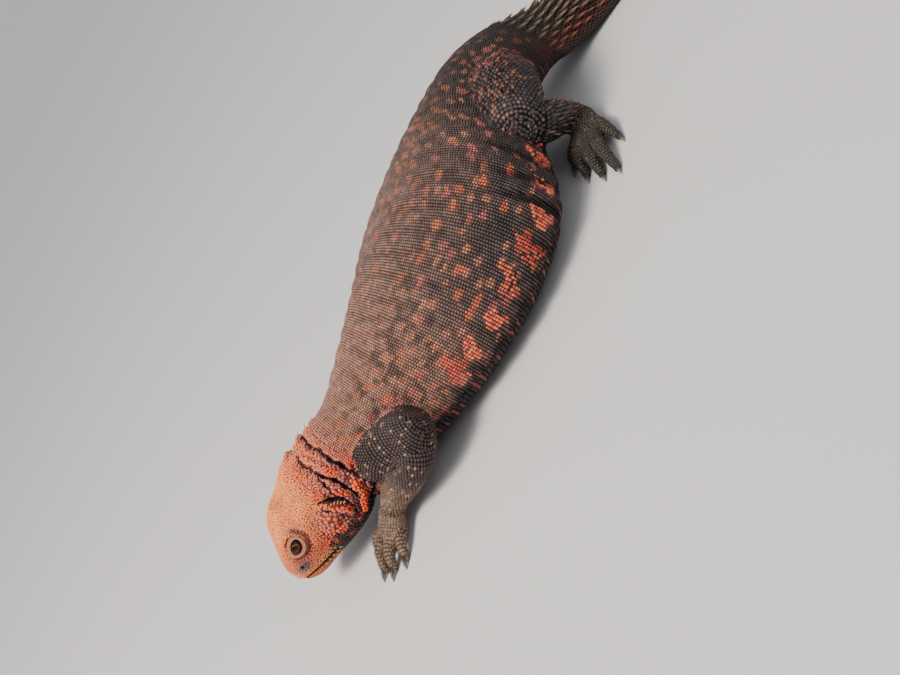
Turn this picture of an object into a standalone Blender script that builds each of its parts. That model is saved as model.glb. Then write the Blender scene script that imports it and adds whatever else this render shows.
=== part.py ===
"""A spiny-tailed desert lizard at life size, lying on the floor with its head low and turned a little away.

The head points to -X, the tail to +X, and the left flank to -Y. Lengths in the tables are millimetres and
angles are degrees. One skin function gives head, neck, torso and tail, and another gives each limb.
"""

import math
import random

import bmesh
import bpy
from mathutils import Matrix, Vector

MM = 0.001
GAP = 0.3
SHORTEST = 0.000001
SEED = 17
UP = Vector((0, 0, 1))

# The head's own frame: the point midway between the eyes, and how the head is turned.
HEAD_CENTRE = Vector((-105.0, 4.5, 28.0))
HEAD_YAW = -5.0
HEAD_PITCH = -15.0
HEAD_ROLL = -5.0

# Sections of the head: distance ahead of the eyes, half width, middle, top, underside, power of the upper
# outline.
HEAD = (
    (16.4, 0.3, -7.2, -7.0, -7.4, 2.0),
    (16.0, 3.4, -7.4, -4.2, -11.4, 2.0),
    (14.8, 5.4, -7.2, -2.4, -13.4, 2.1),
    (12.6, 7.4, -6.8, -0.2, -15.6, 2.4),
    (9.2, 9.4, -6.2, 2.0, -17.6, 2.8),
    (5.0, 11.2, -5.4, 4.6, -19.0, 3.1),
    (0.0, 12.7, -4.8, 7.2, -21.2, 3.2),
    (-6.0, 14.4, -5.2, 9.4, -23.8, 2.8),
    (-12.0, 16.6, -6.2, 8.4, -25.4, 2.5),
    (-18.0, 18.2, -7.0, 8.6, -26.2, 2.3),
    (-23.0, 17.8, -7.0, 8.9, -26.2, 2.1),
)
# Sections of the neck, body and tail: x and y of the midline, half width, middle, top, underside, power.
BODY = (
    (-70.0, 0.6, 17.6, 22.0, 43.4, 3.6, 2.1),
    (-64.0, 0.2, 19.0, 21.5, 42.0, 3.4, 2.1),
    (-56.0, 0.0, 22.0, 21.0, 41.8, 2.6, 2.1),
    (-44.0, -0.1, 27.5, 20.0, 44.4, 1.2, 2.1),
    (-30.0, 0.4, 34.5, 19.0, 47.0, 0.0, 2.1),
    (-12.0, 2.0, 41.5, 18.0, 50.6, -1.0, 2.1),
    (6.0, 5.4, 46.0, 17.5, 53.8, -1.5, 2.1),
    (26.0, 12.4, 44.5, 18.0, 55.6, -0.8, 2.1),
    (44.0, 22.4, 34.5, 21.0, 55.6, 4.0, 2.1),
    (60.0, 32.0, 23.5, 25.0, 53.8, 11.0, 2.1),
    (74.0, 39.6, 20.2, 26.0, 51.0, 12.6, 2.1),
    (86.0, 45.0, 19.0, 24.5, 47.0, 12.2, 2.1),
    (98.0, 49.0, 18.0, 21.0, 40.6, 9.8, 2.1),
    (112.0, 50.6, 16.2, 15.6, 31.2, 4.4, 2.2),
    (130.0, 48.2, 14.4, 11.4, 23.0, -0.4, 2.2),
    (150.0, 41.6, 12.6, 9.2, 18.6, -1.1, 2.2),
    (175.0, 33.4, 10.2, 7.4, 14.8, -1.0, 2.2),
    (200.0, 27.8, 7.6, 5.7, 11.3, -0.8, 2.1),
    (222.0, 25.4, 4.9, 3.9, 7.7, -0.5, 2.0),
    (238.0, 25.2, 2.4, 2.2, 4.2, -0.1, 2.0),
    (243.0, 25.6, 0.5, 1.2, 1.7, 0.5, 2.0),
)
UNDER_POWER = 2.6

HEAD_END = -82.6
NECK_END = -69.0
VENT = 101.0
TAIL_CUTS = (VENT, 127.0, 158.0, 196.0)
TAIL_TIP = BODY[-1][0]

# Whorls on each length of the tail, how far they keep from its ends, and how many spines the first and last
# whorl have.
TAIL_WHORLS = (4, 4, 5, 5)
WHORL_CLEAR = ((2.4, 3.4), (2.4, 3.4), (2.4, 3.4), (2.4, 9.6))
SPINES_FIRST, SPINES_LAST = 10, 6
SPINE_LONG, SPINE_SHORT = 6.0, 2.6
SPINE_WIDTH = 0.26
SPINE_TILT = 34
SPINE_LOW = -16
SPINE_SINK = 0.9
CORE_RAMP = 16.0
# Spines of a thigh and of a shank: how many, span along it, span round it, length and half width.
THIGH_SPINES = (14, 0.42, 0.86, -20, 95, 3.6, 1.15)
SHANK_SPINES = (6, 0.35, 0.8, 130, 230, 2.8, 0.9)
LIMB_TILT = 40
GOLDEN = 0.618


def turned(yaw, pitch, roll):
    """The left, ahead and up directions of a part that points to -X before it is turned."""
    yaw, pitch, roll = (math.radians(angle) for angle in (yaw, pitch, roll))
    level = Vector((-math.cos(yaw), -math.sin(yaw), 0))
    side = Vector((math.sin(yaw), -math.cos(yaw), 0))
    ahead = level * math.cos(pitch) + UP * math.sin(pitch)
    rise = UP * math.cos(pitch) - level * math.sin(pitch)
    left = side * math.cos(roll) + rise * math.sin(roll)
    up = rise * math.cos(roll) - side * math.sin(roll)
    return left, ahead, up


HEAD_LEFT, HEAD_AHEAD, HEAD_UP = turned(HEAD_YAW, HEAD_PITCH, HEAD_ROLL)


def head_place(ahead, left, up):
    """A point given in the head's own frame."""
    return HEAD_CENTRE + HEAD_AHEAD * ahead + HEAD_LEFT * left + HEAD_UP * up


def smooth(table, at, column):
    """A column of a table at a station, by a cubic through the rows with slopes from their neighbours."""
    last = len(table) - 2
    i = next((k for k in range(last) if at < table[k + 1][0]), last)

    def slope(k):
        low, high = max(k - 1, 0), min(k + 1, len(table) - 1)
        return (table[high][column] - table[low][column]) / (table[high][0] - table[low][0])

    width = table[i + 1][0] - table[i][0]
    t = min(max((at - table[i][0]) / width, 0.0), 1.0)
    start = (1 + 2 * t) * (1 - t) ** 2 * table[i][column] + t * (1 - t) ** 2 * width * slope(i)
    end = t * t * (3 - 2 * t) * table[i + 1][column] + t * t * (t - 1) * width * slope(i + 1)
    return start + end


def stations():
    """All sections as one table: station, centre, yaw, pitch, roll, half width, rise, drop, power."""
    rows = []
    for ahead, half, middle, top, under, power in HEAD:
        centre = head_place(ahead, 0, middle)
        turn = (HEAD_YAW, HEAD_PITCH, HEAD_ROLL)
        rows.append((centre.x, *centre, *turn, half, top - middle, middle - under, power))
    for x, y, half, middle, top, under, power in BODY:
        step = 1.0
        low, high = max(x - step, BODY[0][0]), min(x + step, TAIL_TIP)
        yaw = math.degrees(math.atan2(smooth(BODY, high, 1) - smooth(BODY, low, 1), high - low))
        rows.append((x, x, y, middle, yaw, 0, 0, half, top - middle, middle - under, power))
    return rows


SPINE = stations()
SNOUT = SPINE[0][0]


def bell(value, spread):
    return math.exp(-((value / spread) ** 2))


# Raised and hollow places of the head, on both sides: ahead of the eyes, angle up, spreads of both, height.
HEAD_FORMS = (
    (0.5, 62, 6.0, 16, 1.1),
    (8.0, 50, 4.0, 15, -0.8),
    (-13.0, 52, 6.5, 20, 1.2),
    (-15.0, -14, 7.0, 26, 1.1),
    (-1.0, 18, 5.0, 14, -0.7),
)
# Folds of the neck: station on the flank, lean for each degree, depth.
NECK_FOLDS = ((-80.4, 0.02, 1.1), (-76.0, 0.0, 1.7), (-71.2, 0.0, 1.6))
FOLD_WIDTH = 1.1
FOLD_REACH = 60


def relief(at, angle):
    """How far the skin stands out from its plain section."""
    lift = math.degrees(math.asin(max(-1.0, min(1.0, math.sin(angle)))))
    out = 0.0
    if at < NECK_END + 4:
        ahead = (HEAD_CENTRE.x - at) / math.cos(math.radians(HEAD_PITCH))
        for place, turn, along, round_, height in HEAD_FORMS:
            out += height * bell(ahead - place, along) * bell(lift - turn, round_)
        for place, lean, depth in NECK_FOLDS:
            reach = max(bell(lift + 5, FOLD_REACH) - 0.2, 0)
            out -= depth * reach * bell(at - place + lean * lift, FOLD_WIDTH)
    return out


def skin_point(at, angle, grow=0.0):
    """A point of the skin, its angle turning from the left flank over the back; grow moves it outwards."""
    x, y, z, yaw, pitch, roll, half, rise, drop, power = (smooth(SPINE, at, k) for k in range(1, 11))
    left, _, up = turned(yaw, pitch, roll)
    c, q = math.cos(angle), math.sin(angle)
    if q <= 0:
        power, rise = UNDER_POWER, drop
    out = relief(at, angle) + grow
    side = math.copysign(abs(c) ** (2 / power), c) * half + c * out
    height = math.copysign(abs(q) ** (2 / power), q) * rise + q * out
    point = Vector((x, y, z)) + left * side + up * height
    point.z = max(point.z, 0.0)
    return point


def material(name, colour, roughness=0.7):
    made = bpy.data.materials.get(name) or bpy.data.materials.new(name)
    made.use_nodes = True
    shader = made.node_tree.nodes["Principled BSDF"]
    shader.inputs["Base Color"].default_value = (*colour, 1)
    shader.inputs["Roughness"].default_value = roughness
    shader.inputs["Metallic"].default_value = 0
    return made


def ball(name, rings, sides, place, paint=None, pole=None):
    """A closed mesh made from a sphere, whose rows are laid where place(row, angle) says.

    Each pole lies in the middle of its row, which closes an end flat, or where pole(first) says.
    """
    shape = bmesh.new()
    bmesh.ops.create_uvsphere(shape, u_segments=sides, v_segments=rings + 1, radius=1)
    spots = []
    for corner in shape.verts:
        row = round(math.acos(max(-1.0, min(1.0, corner.co.z))) / math.pi * (rings + 1))
        angle = math.atan2(corner.co.y, corner.co.x)
        spots.append((corner, row, angle))
    for corner, row, angle in spots:
        if 0 < row <= rings:
            corner.co = place(row - 1, angle) * MM
    for corner, row, angle in spots:
        if row in (0, rings + 1) and pole:
            corner.co = pole(row == 0) * MM
        elif row in (0, rings + 1):
            ring = [other.co for other, beside, _ in spots if beside == (1 if row == 0 else rings)]
            corner.co = sum(ring, Vector()) / len(ring)
    bmesh.ops.triangulate(shape, faces=shape.faces)
    bmesh.ops.recalc_face_normals(shape, faces=shape.faces)
    mesh = bpy.data.meshes.new(name)
    shape.to_mesh(mesh)
    shape.free()
    mesh.shade_smooth()
    made = bpy.data.objects.new(name, mesh)
    bpy.context.scene.collection.objects.link(made)
    if paint:
        mesh.materials.append(paint)
    return made


def spread(start, end, count):
    return [start + (end - start) * k / (count - 1) for k in range(count)]


def body_length(name, places, sides, paint, grow=0.0):
    """A length of the skin between its first and last station."""
    return ball(name, len(places), sides, lambda row, angle: skin_point(places[row], angle, grow), paint)


def along_tail(first, last, at):
    """A size that changes evenly from the root of the tail to its tip."""
    return first + (last - first) * (at - VENT) / (TAIL_TIP - VENT)


def core_point(at, angle):
    """The tail's skin under its spines, which lies inside the outline by their reach, save underneath."""
    ramp = min(max((at - VENT) / CORE_RAMP, 0.0), 1.0)
    upper = min(max(math.sin(angle) * 2 + 1.3, 0.0), 1.0)
    reach = along_tail(SPINE_LONG, SPINE_SHORT, at) * math.sin(math.radians(SPINE_TILT))
    return skin_point(at, angle, -min(reach * ramp * upper, smooth(SPINE, at, 7) / 2))


def spine(root, normal, along, length, width, tilt, sink):
    """A keeled spine that leans back along the skin, with its root sunk in it."""
    tilt = math.radians(tilt)
    lean = along * math.cos(tilt) + normal * math.sin(tilt)
    side = normal.cross(along).normalized()
    keel = lean.cross(side).normalized()
    foot = root - normal * sink

    def place(row, angle):
        across, upward = math.sin(angle), math.cos(angle)
        if row == 0:
            return foot + (side * across - along * upward) * width
        middle = root + lean * length * 0.5
        return middle + (side * across + keel * upward) * width * 0.6

    def ends(first):
        return foot - normal * sink * 0.3 if first else root + lean * length
    return ball("spine", 2, 3, place, None, ends)


def normal_at(surface, at, angle, middle):
    """The outward direction of a surface, and the direction along it."""
    along = (surface(at + 0.5, angle) - surface(at - 0.5, angle)).normalized()
    around = surface(at, angle + 0.05) - surface(at, angle - 0.05)
    normal = along.cross(around).normalized()
    if normal.dot(surface(at, angle) - middle) < 0:
        normal = -normal
    return normal, along


def whorl(at, odd, draw):
    """One ring of spines from flank to flank over the tail, every other ring turned by half a place."""
    number = round(along_tail(SPINES_FIRST, SPINES_LAST, at))
    length = along_tail(SPINE_LONG, SPINE_SHORT, at)
    middle = Vector([smooth(SPINE, at, column) for column in (1, 2, 3)])
    made = []
    for n in range(number):
        place = n + 0.5 * odd * (n < number - 1)
        angle = math.radians(SPINE_LOW + (180 - 2 * SPINE_LOW) * place / (number - 1) + draw.uniform(-3, 3))
        root = core_point(at, angle)
        normal, along = normal_at(core_point, at, angle, middle)
        long = length * draw.uniform(0.85, 1.12)
        sink = SPINE_SINK * length / SPINE_LONG
        tilt = SPINE_TILT + draw.uniform(-5, 5)
        made.append(spine(root, normal, along, long, length * SPINE_WIDTH, tilt, sink))
    return made


def build_tail(paint, draw):
    """The lengths of the tail, each with its whorls of spines fused to it."""
    ends = TAIL_CUTS + (TAIL_TIP + GAP / 2,)
    for count, whorls in enumerate(TAIL_WHORLS):
        start, end = ends[count] + GAP / 2, ends[count + 1] - GAP / 2
        places = spread(start, end, 8)
        core = ball(f"tail_{count + 1}", 8, 14, lambda row, angle: core_point(places[row], angle), paint)
        spines = []
        first, last = WHORL_CLEAR[count]
        for odd, at in enumerate(spread(start + first, end - last, whorls)):
            spines += whorl(at, odd % 2, draw)
        combine(core, spines, "UNION", "MANIFOLD")
        keep_largest(core)


def limb_spines(joints, recipe, side, draw):
    """Spines over one side of a limb, leaning towards its lower end."""
    number, first, last, low, high, length, width = recipe
    rows = limb_table(joints)
    reach = rows[-1][0]

    def surface(at, angle):
        return limb_point(rows, at, angle)
    made = []
    for n in range(number):
        share = (n + 0.5) / number
        at = reach * (first + (last - first) * (n * GOLDEN % 1.0))
        turn = low + (high - low) * share + draw.uniform(-4, 4)
        angle = math.radians(turn if side > 0 else 180 - turn)
        middle = Vector([smooth(rows, at, column) for column in (1, 2, 3)])
        normal, along = normal_at(surface, at, angle, middle)
        long = length * draw.uniform(0.8, 1.15)
        tilt = LIMB_TILT + draw.uniform(-8, 8)
        made.append(spine(surface(at, angle), normal, along, long, width, tilt, SPINE_SINK))
    return made


# Limbs: three pieces each, and each piece a line of joints with its radii, across and upright.
ARM_LEFT = (
    (((-66, -13, 22), 8.6, 9.2), ((-58, -24, 24), 8.4, 9.0), ((-49, -31, 23.5), 8.2, 9.0)),
    (((-49, -31.5, 21.5), 8.0, 8.6), ((-56, -31, 17), 7.8, 8.0), ((-66, -26, 13), 6.8, 6.6),
     ((-73.5, -21, 10.5), 5.8, 5.2)),
    (((-74, -20.5, 9.5), 5.4, 4.8), ((-79.5, -19, 6.9), 6.6, 4.8), ((-84.5, -20, 4.0), 7.4, 4.4)),
)
ARM_RIGHT = (
    (((-64, 13, 22), 8.6, 9.2), ((-56, 25, 24), 8.4, 9.0), ((-48, 34, 22.5), 8.2, 8.6)),
    (((-48, 34.5, 21.0), 8.0, 8.2), ((-51.5, 37, 15.5), 7.6, 7.6), ((-59, 37.5, 10.5), 6.6, 6.4),
     ((-65, 37, 8.0), 5.8, 5.2)),
    (((-65.5, 37, 7.2), 5.4, 4.8), ((-70.5, 37, 5.6), 6.6, 4.8), ((-75.5, 38.5, 4.0), 7.4, 4.4)),
)
LEG_LEFT = (
    (((80, 30, 29), 14.0, 15.0), ((74, 14.5, 31.5), 13.2, 14.2), ((67, 1, 30.5), 10.2, 11.0)),
    (((67, 0, 29), 9.4, 9.8), ((70.5, 0.5, 22), 8.4, 8.6), ((76.5, 5, 14.2), 7.0, 6.6),
     ((80.5, 9.5, 8.4), 5.8, 5.4)),
    (((82, 9.5, 6.6), 4.8, 4.6), ((80.5, 3.5, 5.8), 6.0, 4.8), ((77, -2.5, 3.7), 7.2, 4.2)),
)
LEG_RIGHT = (
    (((80, 58, 25), 14.0, 14.0), ((66, 67, 25.5), 13.0, 13.0), ((52.5, 76, 22.5), 10.4, 10.4)),
    (((52.5, 77, 21), 9.4, 9.4), ((53.5, 82.5, 15.5), 8.6, 8.4), ((58.5, 89.5, 10.8), 7.0, 6.6),
     ((62, 94, 8.0), 5.8, 5.4)),
    (((63, 95, 6.4), 4.8, 4.6), ((58, 98.5, 5.6), 6.0, 4.8), ((52, 102, 3.7), 7.2, 4.2)),
)
# Rings that round off a piece's end: how far past it, and how wide, as parts of its radius.
ROUND_END = ((0.97, 0.24), (0.78, 0.63), (0.44, 0.9))

# Toes, from the inner one out: root, knuckle and tip, each as far ahead of the palm's end and out from its
# middle, and its height over the floor, then the radius at the root.
HAND_TOES = (
    ((-4.7, -4.5, 5.0), (-0.1, -8.7, 4.2), (3.8, -9.7, 1.0), 2.2),
    ((-1.5, -3.8, 5.0), (4.7, -5.8, 5.4), (10.1, -5.1, 1.0), 2.3),
    ((-0.6, -0.6, 4.8), (7.6, -0.4, 5.6), (13.6, 1.4, 1.0), 2.4),
    ((-0.8, 3.0, 4.6), (7.0, 5.4, 5.0), (12.2, 7.4, 1.0), 2.3),
    ((-2.2, 5.2, 4.0), (2.7, 9.2, 4.0), (6.9, 11.9, 1.0), 2.1),
)
FOOT_TOES = (
    ((-2.0, -4.8, 3.6), (2.2, -9.2, 3.6), (6.4, -11.6, 1.0), 2.4),
    ((-0.5, -3.4, 3.8), (8.8, -6.6, 4.4), (17.2, -7.8, 1.0), 2.5),
    ((-0.5, -1.0, 3.8), (14.0, -1.8, 5.0), (25.5, -1.4, 1.0), 2.6),
    ((-0.5, 2.2, 3.8), (16.0, 3.8, 5.2), (29.8, 5.4, 1.0), 2.7),
    ((-1.5, 4.8, 3.6), (7.4, 8.2, 4.2), (15.6, 10.4, 1.0), 2.3),
)
CLAW_LENGTH = 4.2
CLAW_RADIUS = 1.15
CLAW_ROOT = 1.6
CLAW_DROP = 0.9
CLAW_TIP = 0.15
LIMBS = (
    (("upper_arm_left", "forearm_left", "hand_left"), ARM_LEFT, HAND_TOES, 1),
    (("upper_arm_right", "forearm_right", "hand_right"), ARM_RIGHT, HAND_TOES, -1),
    (("thigh_left", "shank_left", "foot_left"), LEG_LEFT, FOOT_TOES, 1),
    (("thigh_right", "shank_right", "foot_right"), LEG_RIGHT, FOOT_TOES, -1),
)

# The eye, its lids, the ear, the mouth and the nostril, in the head's own frame.
EYE_AT = (-0.2, 9.3, 2.0)
EYE_RADIUS = 4.1
LID_AT = (-0.2, 12.5, 2.0)
LID_LONG, LID_TALL, LID_THICK = 3.8, 2.85, 0.7
LID_LEAN = -28
LID_TURNS, LID_SIDES = 16, 6
LID_RING = 3
LID_CURVE = 0.03
EAR_AT = (-19.6, 18.2, -4.6)
EAR_SIZE = (1.7, 2.8, 4.6)
EAR_LEAN = -16
MOUTH_FRONT, MOUTH_CORNER = 18.0, -0.8
MOUTH_LINE = ((-0.8, -14.7), (3.0, -13.1), (8.0, -10.9), (12.0, -9.4), (18.0, -8.4))
MOUTH_DEPTH = 1.5
MOUTH_REACH = 26
MOUTH_GAP = 0.35
NOSTRIL_AHEAD = 9.0
NOSTRIL_ANGLE = 9
NOSTRIL_RADIUS = 0.95


def limb_table(joints):
    """The joints of a limb as rows: distance along it, x, y, z, radius across, upright radius."""
    rows, length, before = [], 0.0, None
    for place, across, upright in joints:
        if before:
            length += (Vector(place) - Vector(before)).length
        rows.append((length, *place, across, upright))
        before = place
    return rows


def limb_point(rows, at, angle, grow=0.0, width=1.0):
    """A point of a limb's skin; past its ends the limb goes straight on."""
    end = rows[-1][0]
    inside = min(max(at, 0), end)
    centre = Vector([smooth(rows, inside, k) for k in (1, 2, 3)])
    before = Vector([smooth(rows, max(inside - 1, 0), k) for k in (1, 2, 3)])
    after = Vector([smooth(rows, min(inside + 1, end), k) for k in (1, 2, 3)])
    along = (after - before).normalized()
    side = UP.cross(along).normalized()
    top = along.cross(side)
    point = centre + along * (at - inside)
    point += side * (math.cos(angle) * (smooth(rows, inside, 4) + grow) * width)
    point += top * (math.sin(angle) * (smooth(rows, inside, 5) + grow) * width)
    point.z = max(point.z, 0.0)
    return point


def limb_length(name, joints, count, sides, paint=None, grow=0.0):
    """One piece of a limb with round ends."""
    rows = limb_table(joints)
    end = rows[-1][0]
    first, last = rows[0][4] + grow, rows[-1][4] + grow
    places = [(-past * first, width) for past, width in ROUND_END]
    places += [(at, 1.0) for at in spread(0, end, count)]
    places += [(end + past * last, width) for past, width in reversed(ROUND_END)]

    def place(row, angle):
        at, width = places[row]
        return limb_point(rows, at, angle, grow, width)
    return ball(name, len(places), sides, place, paint)


def combine(target, others, operation, solver="EXACT"):
    """Apply one Boolean of a collection of closed meshes to the target, then remove them."""
    group = bpy.data.collections.new("tools")
    for other in others:
        group.objects.link(other)
    step = target.modifiers.new("combine", "BOOLEAN")
    step.operation = operation
    step.operand_type = "COLLECTION"
    step.collection = group
    step.solver = solver
    view = bpy.context.evaluated_depsgraph_get()
    mesh = bpy.data.meshes.new_from_object(target.evaluated_get(view))
    target.modifiers.clear()
    target.data = mesh
    for other in others:
        bpy.data.objects.remove(other)
    bpy.data.collections.remove(group)
    return target


def keep_largest(target):
    """Keep only the closed surface with the most faces."""
    shape = bmesh.new()
    shape.from_mesh(target.data)
    bmesh.ops.dissolve_degenerate(shape, dist=SHORTEST, edges=shape.edges)
    bmesh.ops.triangulate(shape, faces=shape.faces)
    waiting = set(shape.faces)
    groups = []
    while waiting:
        seed = waiting.pop()
        group, front = {seed}, [seed]
        while front:
            for line in front.pop().edges:
                if len(line.link_faces) == 2:
                    fresh = [face for face in line.link_faces if face not in group]
                    group.update(fresh)
                    front.extend(fresh)
        waiting -= group
        groups.append(group)
    groups.sort(key=len)
    scraps = [face for group in groups[:-1] for face in group]
    bmesh.ops.delete(shape, geom=scraps, context="FACES")
    shape.to_mesh(target.data)
    shape.free()
    return target


def oval(name, centre, axes, radii, rings=7, sides=10, paint=None):
    """A ball with three radii along three directions."""
    def spot(polar, angle):
        parts = (math.sin(polar) * math.cos(angle), math.sin(polar) * math.sin(angle), math.cos(polar))
        return centre + sum((axis * (size * part) for axis, size, part in zip(axes, radii, parts)), Vector())

    def place(row, angle):
        return spot(math.pi * (row + 1) / (rings + 1), angle)
    return ball(name, rings, sides, place, paint, lambda first: spot(0 if first else math.pi, 0))


def lid_ring(side):
    """The lids as one thick ring round the eye: a row of points spun into a ring, then laid in place."""
    shape = bmesh.new()
    middle = (LID_RING, 0, 0)
    profile = bmesh.ops.create_circle(shape, segments=LID_SIDES, radius=1, matrix=Matrix.Translation(middle))
    bmesh.ops.rotate(shape, verts=profile["verts"], cent=middle, matrix=Matrix.Rotation(math.pi / 2, 3, "X"))
    bmesh.ops.spin(shape, geom=shape.edges[:], cent=(0, 0, 0), axis=(0, 0, 1), angle=2 * math.pi,
                   steps=LID_TURNS, use_merge=True)
    for corner in shape.verts:
        turn = math.atan2(corner.co.y, corner.co.x)
        angle = math.atan2(corner.co.z, corner.co.xy.length - LID_RING)
        corner.co = lid_point(side, turn, angle) * MM
    bmesh.ops.recalc_face_normals(shape, faces=shape.faces)
    mesh = bpy.data.meshes.new("lids")
    shape.to_mesh(mesh)
    shape.free()
    made = bpy.data.objects.new("lids", mesh)
    bpy.context.scene.collection.objects.link(made)
    return made


def lid_point(side, turn, angle):
    out = LID_THICK * math.cos(angle)
    ahead, left, up = LID_AT
    lean = math.radians(LID_LEAN)
    long, tall = (LID_LONG + out) * math.cos(turn), (LID_TALL + out) * math.sin(turn)
    ahead += long * math.cos(lean) - tall * math.sin(lean)
    up += long * math.sin(lean) + tall * math.cos(lean)
    left += LID_THICK * math.sin(angle) - LID_CURVE * long ** 2
    return head_place(ahead, side * left, up)


def head_axes(side, lean=0.0):
    turn = Matrix.Rotation(math.radians(side * lean), 3, HEAD_LEFT)
    return turn @ HEAD_AHEAD, HEAD_LEFT * side, turn @ HEAD_UP


def mouth_cutter():
    """A thin sheet along the line of the mouth, less the inside of the head."""
    rows = spread(MOUTH_CORNER, MOUTH_FRONT + 2, 8)

    def place(row, angle):
        ahead = rows[row]
        up = smooth(MOUTH_LINE, min(ahead, MOUTH_FRONT), 1)
        return head_place(ahead, MOUTH_REACH * math.cos(angle), up + MOUTH_GAP * math.sin(angle))
    sheet = ball("mouth", len(rows), 12, place)
    core_rows = spread(SNOUT + MOUTH_DEPTH, HEAD_END + 4, 10)
    core = body_length("core", core_rows, 16, None, -MOUTH_DEPTH)
    return combine(sheet, [core], "DIFFERENCE")


def build_head(paint):
    tips = [SNOUT, SNOUT + 0.4, SNOUT + 1.0]
    head = body_length("head", tips + spread(SNOUT + 2, HEAD_END - GAP / 2, 17), 28, paint)
    combine(head, [lid_ring(1), lid_ring(-1)], "UNION")
    cutters = []
    for side in (1, -1):
        ahead, left, up = EYE_AT
        axes = (HEAD_AHEAD, HEAD_UP, HEAD_LEFT * side)
        eye = head_place(ahead, side * left, up)
        socket = EYE_RADIUS + GAP
        cutters.append(oval("socket", eye, axes, (socket, socket, socket), 9, 14))
        ear_axes = head_axes(side, EAR_LEAN)
        ear = head_place(EAR_AT[0], side * EAR_AT[1], EAR_AT[2])
        cutters.append(oval("ear", ear, ear_axes, EAR_SIZE, 5, 10))
        station = head_place(NOSTRIL_AHEAD, 0, -6).x
        angle = math.radians(NOSTRIL_ANGLE if side > 0 else 180 - NOSTRIL_ANGLE)
        spot = skin_point(station, angle, -0.2)
        cutters.append(oval("nostril", spot, axes, (NOSTRIL_RADIUS,) * 3, 5, 8))
    cutters.append(mouth_cutter())
    combine(head, cutters, "DIFFERENCE")
    return keep_largest(head)


def build_eye(name, side, paint):
    ahead, left, up = EYE_AT
    axes = (HEAD_AHEAD, HEAD_UP, HEAD_LEFT * side)
    return oval(name, head_place(ahead, side * left, up), axes, (EYE_RADIUS,) * 3, 7, 12, paint)


def body_cutter():
    """The neck, torso and root of the tail, at their own sections and grown by the gap, to trim limbs."""
    torso = spread(NECK_END + GAP / 2, VENT - GAP / 2, 22)
    places = spread(HEAD_END, NECK_END, 12) + torso + spread(VENT + GAP, TAIL_CUTS[1], 6)
    return body_length("trim", places, 28, None, GAP)


def toe_place(joints, side, spot):
    """A point given from the palm's end: ahead, outwards and up from the floor."""
    before, end = Vector(joints[-2][0]), Vector(joints[-1][0])
    ahead = Vector((end.x - before.x, end.y - before.y, 0)).normalized()
    out = Vector((-ahead.y, ahead.x, 0)) * side
    return Vector((end.x, end.y, 0)) + ahead * spot[0] + out * spot[1] + UP * spot[2]


def tube(name, rows, count, sides):
    """A tube with flat ends."""
    places = spread(0, rows[-1][0], count)
    return ball(name, count, sides, lambda row, angle: limb_point(rows, places[row], angle))


def toe(start, middle, end, radius):
    """A toe bent at its knuckle, and its claw."""
    digit = tube("toe", limb_table((
        (start, radius, radius),
        (middle, radius * 0.92, radius * 0.95),
        (end, radius * 0.62, radius * 0.62),
    )), 4, 7)
    ahead = (end - middle).normalized()
    level = Vector((ahead.x, ahead.y, 0)).normalized()
    claw = tube("claw", limb_table((
        (end - ahead * CLAW_ROOT + UP * CLAW_TIP, CLAW_RADIUS, CLAW_RADIUS),
        (end + level * CLAW_LENGTH * 0.45 + UP * 2 * CLAW_TIP, CLAW_RADIUS * 0.75, CLAW_RADIUS * 0.8),
        (end + level * CLAW_LENGTH - UP * CLAW_DROP, CLAW_TIP, CLAW_TIP),
    )), 3, 5)
    return [digit, claw]


def build_limb(names, pieces, toes, side, paint, draw):
    """Upper and lower piece and foot, each trimmed to leave a gap to what it grows from."""
    upper = limb_length(names[0], pieces[0], 6, 14, paint)
    if toes is FOOT_TOES:
        combine(upper, limb_spines(pieces[0], THIGH_SPINES, side, draw), "UNION", "MANIFOLD")
    combine(upper, [body_cutter()], "DIFFERENCE", "MANIFOLD")
    keep_largest(upper)
    lower = limb_length(names[1], pieces[1], 6, 12, paint)
    if toes is FOOT_TOES:
        combine(lower, limb_spines(pieces[1], SHANK_SPINES, side, draw), "UNION", "MANIFOLD")
    cutters = [body_cutter(), limb_length("above", pieces[0], 6, 14, None, GAP)]
    combine(lower, cutters, "DIFFERENCE", "MANIFOLD")
    keep_largest(lower)
    foot = limb_length(names[2], pieces[2], 4, 12, paint)
    digits = []
    for *spots, radius in toes:
        digits += toe(*(toe_place(pieces[2], side, spot) for spot in spots), radius)
    combine(foot, digits, "UNION", "MANIFOLD")
    cutters = [body_cutter(), limb_length("above", pieces[1], 6, 12, None, GAP)]
    combine(foot, cutters, "DIFFERENCE", "MANIFOLD")
    keep_largest(foot)


def stand_on_origin():
    """Move everything so that the middle of its box is over the origin and its lowest point on the floor."""
    corners = [made.matrix_world @ corner.co for made in bpy.data.objects for corner in made.data.vertices]
    low = Vector([min(corner[k] for corner in corners) for k in range(3)])
    high = Vector([max(corner[k] for corner in corners) for k in range(3)])
    shift = Vector(((low.x + high.x) / 2, (low.y + high.y) / 2, low.z))
    for made in bpy.data.objects:
        made.data.transform(Matrix.Translation(-shift))


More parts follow.
